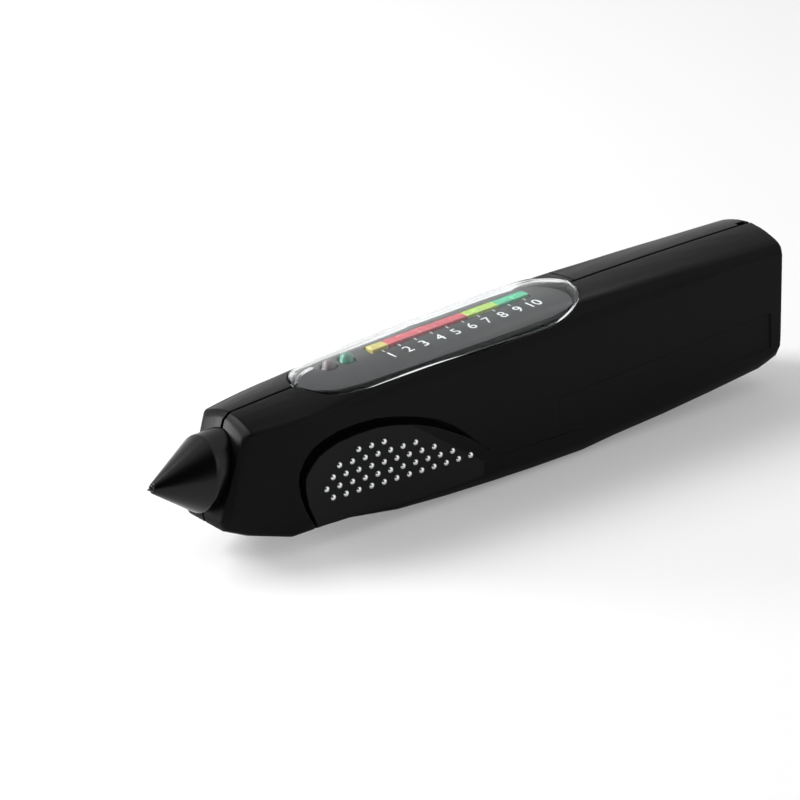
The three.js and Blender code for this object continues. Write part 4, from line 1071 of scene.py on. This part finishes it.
class MakeWindow(PieceOperator, bpy.types.Operator):
    """Make the clear window"""

    bl_idname = "tester.make_window"
    bl_label = "Window"

    def make(self, scene):
        settings = scene.tester_window
        clear = once("Clear moulding", clear_plastic, settings.tint)
        bm = bmesh.new()
        rings = []
        for i in range((len(LENS_SHARES) - 1) * LENS_FINENESS + 1):
            along, across = curve_point(LENS_SHARES, i / LENS_FINENESS)
            x = LENS_START + LENS_LENGTH * along
            rings.append(window_arch(x, LENS_HALF_WIDTH * across, settings.wall))
        loft(bm, rings)
        window = smooth(closed_object("window", bm), WINDOW_SHARP)
        finished(window, clear, "window_clear", "display_lens")


def light_finish(settings, label):
    """Finish of the lights of one colour."""
    return once(f"Tinted lens {label}", tinted, getattr(settings, label))


def make_marks(settings):
    """Plain numbers and ticks, one for each segment of the bar."""
    ink = once("Printed marks", plastic, settings.marks, roughness=0.6, grain=2000.0, relief=0.05)
    bm = bmesh.new()
    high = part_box("display_panel")[1]
    slope = Matrix.Rotation(-PANEL_SLOPE, 4, "Y")
    for number in range(1, len(SEGMENT_COLOURS) + 1):
        middle = middle_of(f"light_segment_{number:02d}").x
        level = high.z - (high.x - middle) * math.tan(PANEL_SLOPE)
        curve = bpy.data.curves.new("number", "FONT")
        curve.body = str(number)
        curve.size = MARK_SIZE
        curve.align_x = "CENTER"
        curve.align_y = "CENTER"
        curve.extrude = MARK_THICK
        text = linked("number", curve)
        mesh = evaluated(text)
        mesh.transform(Matrix.Translation((middle, MARK_Y, level)) @ slope)
        bm.from_mesh(mesh)
        bpy.data.objects.remove(text)
        size = Matrix.Diagonal((TICK_WIDTH, TICK_LENGTH, 2 * MARK_THICK, 1))
        tick = Matrix.Translation((middle, TICK_Y, level)) @ slope @ size
        bmesh.ops.create_cube(bm, size=1, matrix=tick)
    finished(closed_object("panel_marks", bm), ink, "panel_grey")


class MakePanel(PieceOperator, bpy.types.Operator):
    """Make the panel, its numbers and ticks, the light bar and the two round lights"""

    bl_idname = "tester.make_panel"
    bl_label = "Panel and lights"

    def make(self, scene):
        settings = scene.tester_window
        grey = once("Matt grey panel", plastic, settings.panel, roughness=0.55, grain=3200.0, relief=0.2)
        panel = bevelled(merged_copy("display_panel", "panel"), PANEL_EDGE)
        finished(panel, grey, "panel_grey", "display_panel")
        for number, label in enumerate(SEGMENT_COLOURS, 1):
            node = f"light_segment_{number:02d}"
            light = bevelled(merged_copy(node, f"bar_light_{number:02d}"), LIGHT_EDGE)
            finished(light, light_finish(settings, label), f"light_{label}", node)
        for node, name, label, slot in (
            ("ready_light", "round_light_ready", "teal", "light_green"),
            ("battery_light", "round_light_battery", "pale", "light_pale"),
        ):
            light = smooth(merged_copy(node, name), ROUND_SHARP)
            finished(light, light_finish(settings, label), slot, node)
        make_marks(settings)


class MakeSwitch(PieceOperator, bpy.types.Operator):
    """Make the switch knob"""

    bl_idname = "tester.make_switch"
    bl_label = "Switch knob"

    def make(self, scene):
        knob = bevelled(merged_copy("power_switch_knob", "knob"), KNOB_EDGE)
        finished(knob, dark_moulding(scene), "dark_plastic", "power_switch_knob", body="switch_knob")


def screw():
    """One pan-headed screw along Y with a cross for the driver, its head's foot at the origin."""
    end = -(HALF - SCREW_SEAT + GAP + SCREW_END)
    rings = [ring_at(y, [radius] * SCREW_SIDES) for y, radius in (
        (end, SCREW_RADIUS / 3),
        (end + SCREW_POINT, SCREW_RADIUS),
        (0, SCREW_RADIUS),
        (0, SCREW_HEAD_RADIUS),
        (SCREW_HEAD_THICK - SCREW_EDGE * 2, SCREW_HEAD_RADIUS),
        (SCREW_HEAD_THICK - SCREW_EDGE, SCREW_HEAD_RADIUS - SCREW_EDGE / 3),
        (SCREW_HEAD_THICK, SCREW_HEAD_RADIUS - SCREW_EDGE),
    )]
    cross = []
    for i in range(SCREW_SIDES):
        turn = math.tau * i / SCREW_SIDES
        c, s = (max(abs(arm), MERGE_DISTANCE) for arm in (math.cos(turn), math.sin(turn)))
        cross.append(max(min(DRIVE_REACH / c, DRIVE_WIDTH / s), min(DRIVE_REACH / s, DRIVE_WIDTH / c)))
    rings.append(ring_at(SCREW_HEAD_THICK, cross))
    rings.append(ring_at(SCREW_HEAD_THICK - DRIVE_DEPTH, [r * DRIVE_FLOOR_SHARE for r in cross]))
    bm = bmesh.new()
    loft(bm, rings)
    return closed_object("screw_pattern", bm)


class MakeScrews(PieceOperator, bpy.types.Operator):
    """Make the four screws that hold the halves together"""

    bl_idname = "tester.make_screws"
    bl_label = "Screws"

    def make(self, scene):
        steel = plain_steel(scene)
        nodes = [f"shell_screw_{number}" for number in range(1, SCREW_COUNT + 1)]
        places = [(middle_of(node).x, HALF - SCREW_SEAT + GAP, middle_of(node).z) for node in nodes]
        screws = repeated("screws", places, screw(), 1.0, steel)
        finished(smooth(screws, WINDOW_SHARP), steel, "steel", *nodes)


def spring_tree():
    """A coil of round wire from the origin, up along Z."""
    tree, given = new_tree("Coil", [
        (label, "NodeSocketFloat", 1.0) for label in ("Turns", "Mean radius", "Wire radius", "Length")
    ])
    spiral = add(tree, "CurveSpiral", {
        "Resolution": SPRING_STEPS, "Rotations": given["Turns"], "Height": given["Length"],
        "Start Radius": given["Mean radius"], "End Radius": given["Mean radius"],
    })
    wire = add(tree, "CurvePrimitiveCircle", {"Resolution": SPRING_SIDES, "Radius": given["Wire radius"]})
    return closed_tree(tree, given, add(tree, "CurveToMesh", {
        "Curve": spiral.outputs[0], "Profile Curve": wire.outputs[0], "Fill Caps": True,
    }))


class MakeSpring(PieceOperator, bpy.types.Operator):
    """Make the spring behind the needle, which in the real tester gets shorter as the needle goes in"""

    bl_idname = "tester.make_spring"
    bl_label = "Needle spring"

    def make(self, scene):
        steel = plain_steel(scene)
        low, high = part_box("probe_spring")
        radius, length = (high.z - low.z) / 2 - SPRING_WIRE, high.x - low.x - 2 * SPRING_WIRE
        spring = grown(points_object("needle_spring", []), spring_tree(), Turns=SPRING_TURNS,
                       Mean_radius=radius, Wire_radius=SPRING_WIRE, Length=length, Material=steel)
        place = Matrix.Translation((low.x + SPRING_WIRE, 0, AXIS_Z))
        spring.data.transform(place @ Matrix.Rotation(math.pi / 2, 4, "Y"))
        finished(smooth(spring, ROUND_SHARP), steel, "steel", "probe_spring")
        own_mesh(spring)


def cell_outline(node, middle):
    """Profile of a round cell from its solid's corners."""
    corners = {}
    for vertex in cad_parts[node].data.vertices:
        radius = round(math.hypot(vertex.co.y - middle.y, vertex.co.z - middle.z), CELL_DIGITS)
        if radius:
            corners.setdefault(round(vertex.co.x, CELL_DIGITS), set()).add(radius)
    steps = []
    for x in sorted(corners):
        last = steps[-1][1] if steps else 0
        steps += [(x, radius) for radius in sorted(corners[x], key=lambda r: abs(r - last))]
    widest = max(radius for x, radius in steps)
    steps = [(steps[0][0], 0), *steps, (steps[-1][0], 0)]
    edges = {k: CELL_EDGE for k, step in enumerate(steps) if step[1] == widest}
    return rounded(round_profile(steps), edges)


class MakeCells(PieceOperator, bpy.types.Operator):
    """Make the three battery cells"""

    bl_idname = "tester.make_cells"
    bl_label = "Battery cells"

    def make(self, scene):
        low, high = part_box("battery_cell_1")
        band = low.x + (high.x - low.x) * CELL_BAND_SHARE
        settings = scene.tester_inside
        sleeve = once("Cell sleeve", cell_sleeve, settings.sleeve, settings.band, band)
        tree = oval_tree()
        for number in range(1, CELL_COUNT + 1):
            node = f"battery_cell_{number}"
            middle = middle_of(node)
            cell = turned(f"cell_{number}", cell_outline(node, middle), tree, sleeve, NOSE_SIDES, middle.z)
            cell.data.transform(Matrix.Translation((0, middle.y, 0)))
            finished(cell, sleeve, "cell_sleeve", node)


class FinishInside(PieceOperator, bpy.types.Operator):
    """Give the pieces inside the housing their finishes"""

    bl_idname = "tester.finish_inside"
    bl_label = "Inside"

    def make(self, scene):
        settings = scene.tester_inside
        brass = once("Turned brass", metal, settings.brass, roughness=0.22, stretch=TURNED, relief=0.05)
        for material, nodes in (
            (plain_steel(scene), [
                "switch_body", "negative_contact", "front_cell_link", "rear_cell_link", "positive_contact",
            ]),
            (brass, ["probe_barrel", "left_contact_finger", "right_contact_finger"]),
            (dark_moulding(scene), [
                "probe_guide", "guide_plug", "control_chip", "buzzer", "board_header", "battery_frame",
            ]),
            (once("Green board", circuit_board, settings.board), ["display_board", "main_board"]),
        ):
            for node in nodes:
                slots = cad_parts[node].data.materials
                slots.clear()
                slots.append(material)


def make_camera(scene):
    """Camera at the photograph's angle and distance."""
    data = bpy.data.cameras.new("camera")
    data.sensor_width = CAMERA_SENSOR
    data.lens = CAMERA_LENS
    data.clip_start = CAMERA_NEAR
    data.clip_end = CAMERA_FAR
    camera = linked("camera", data)
    away = Vector((
        math.sin(CAMERA_AZIMUTH) * math.cos(CAMERA_ELEVATION),
        -math.cos(CAMERA_AZIMUTH) * math.cos(CAMERA_ELEVATION),
        math.sin(CAMERA_ELEVATION),
    ))
    camera.location = CAMERA_TARGET + away * CAMERA_DISTANCE
    camera.rotation_euler = (-away).to_track_quat("-Z", "Y").to_euler()
    scene.camera = camera


def make_lamp(name, place, size, power):
    """Square soft lamp aimed at the tester."""
    data = bpy.data.lights.new(name, "AREA")
    data.shape = "SQUARE"
    data.size = size
    data.energy = power
    lamp = linked(name, data)
    lamp.location = place
    lamp.rotation_euler = (CAMERA_TARGET - place).to_track_quat("-Z", "Y").to_euler()


class MakeStage(PieceOperator, bpy.types.Operator):
    """Make the camera, the floor, the lamps and the background"""

    bl_idname = "tester.make_stage"
    bl_label = "Stage"

    def make(self, scene):
        settings = scene.tester_stage
        make_camera(scene)
        bm = bmesh.new()
        bmesh.ops.create_grid(bm, x_segments=1, y_segments=1, size=FLOOR_HALF)
        floor = closed_object("floor", bm)
        floor.data.materials.append(once("Pale floor", pale_floor, settings.floor, settings.lift))
        for name, (place, size) in LAMPS.items():
            make_lamp(name, place, size, getattr(settings, name))
        world = bpy.data.worlds.new("Even studio")
        world.use_nodes = True
        scene.world = world
        tree = world.node_tree
        direction = add(tree, "TexCoord").outputs["Generated"]
        facing = add(tree, "VectorMath", {0: direction, 1: DARK_SIDE}, operation="DOT_PRODUCT")
        unlit = ranged(tree, facing.outputs["Value"], 1, settings.unlit, *DARK_EDGE)
        straight = add(tree, "LightPath").outputs["Is Camera Ray"]
        strength = add(tree, "MapRange", {
            "Value": seen_by_camera(tree), "To Min": settings.sky,
            "To Max": calc(tree, "MAXIMUM", straight, unlit),
        })
        fill(tree, tree.nodes["Background"], {"Color": (1, 1, 1, 1), "Strength": strength.outputs[0]})
        scene.view_settings.view_transform = "Standard"


OPERATORS = (
    MakeStage, MakeShells, MakeStuds, MakeNose, MakeWindow, MakePanel, MakeSwitch, MakeScrews, MakeSpring,
    MakeCells, FinishInside,
)


class TesterPanel(bpy.types.Panel):
    """Lists the steps that make the tester"""

    bl_idname = "VIEW3D_PT_gem_tester"
    bl_label = "Gem tester"
    bl_space_type = "VIEW_3D"
    bl_region_type = "UI"
    bl_category = "Gem tester"

    def draw(self, context):
        """Buttons for the steps, then the settings."""
        for operator in OPERATORS:
            self.layout.operator(operator.bl_idname, text=operator.bl_label)
        for name, group in SETTINGS.items():
            box = self.layout.box()
            for setting in group.__annotations__:
                box.prop(getattr(context.scene, name), setting)


def register():
    """Makes the settings, the operators and the panel known."""
    for group in SETTINGS.values():
        bpy.utils.register_class(group)
    for name, group in SETTINGS.items():
        setattr(bpy.types.Scene, name, bpy.props.PointerProperty(type=group))
    for kind in (*OPERATORS, TesterPanel):
        bpy.utils.register_class(kind)


def unregister():
    """Takes back what register did."""
    for kind in reversed((*OPERATORS, TesterPanel)):
        bpy.utils.unregister_class(kind)
    for name in SETTINGS:
        delattr(bpy.types.Scene, name)
    for group in reversed(list(SETTINGS.values())):
        bpy.utils.unregister_class(group)


def main():
    """Runs every step."""
    register()
    for operator in OPERATORS:
        getattr(bpy.ops.tester, operator.bl_idname.split(".")[1])()


if __name__ == "__main__":
    main()
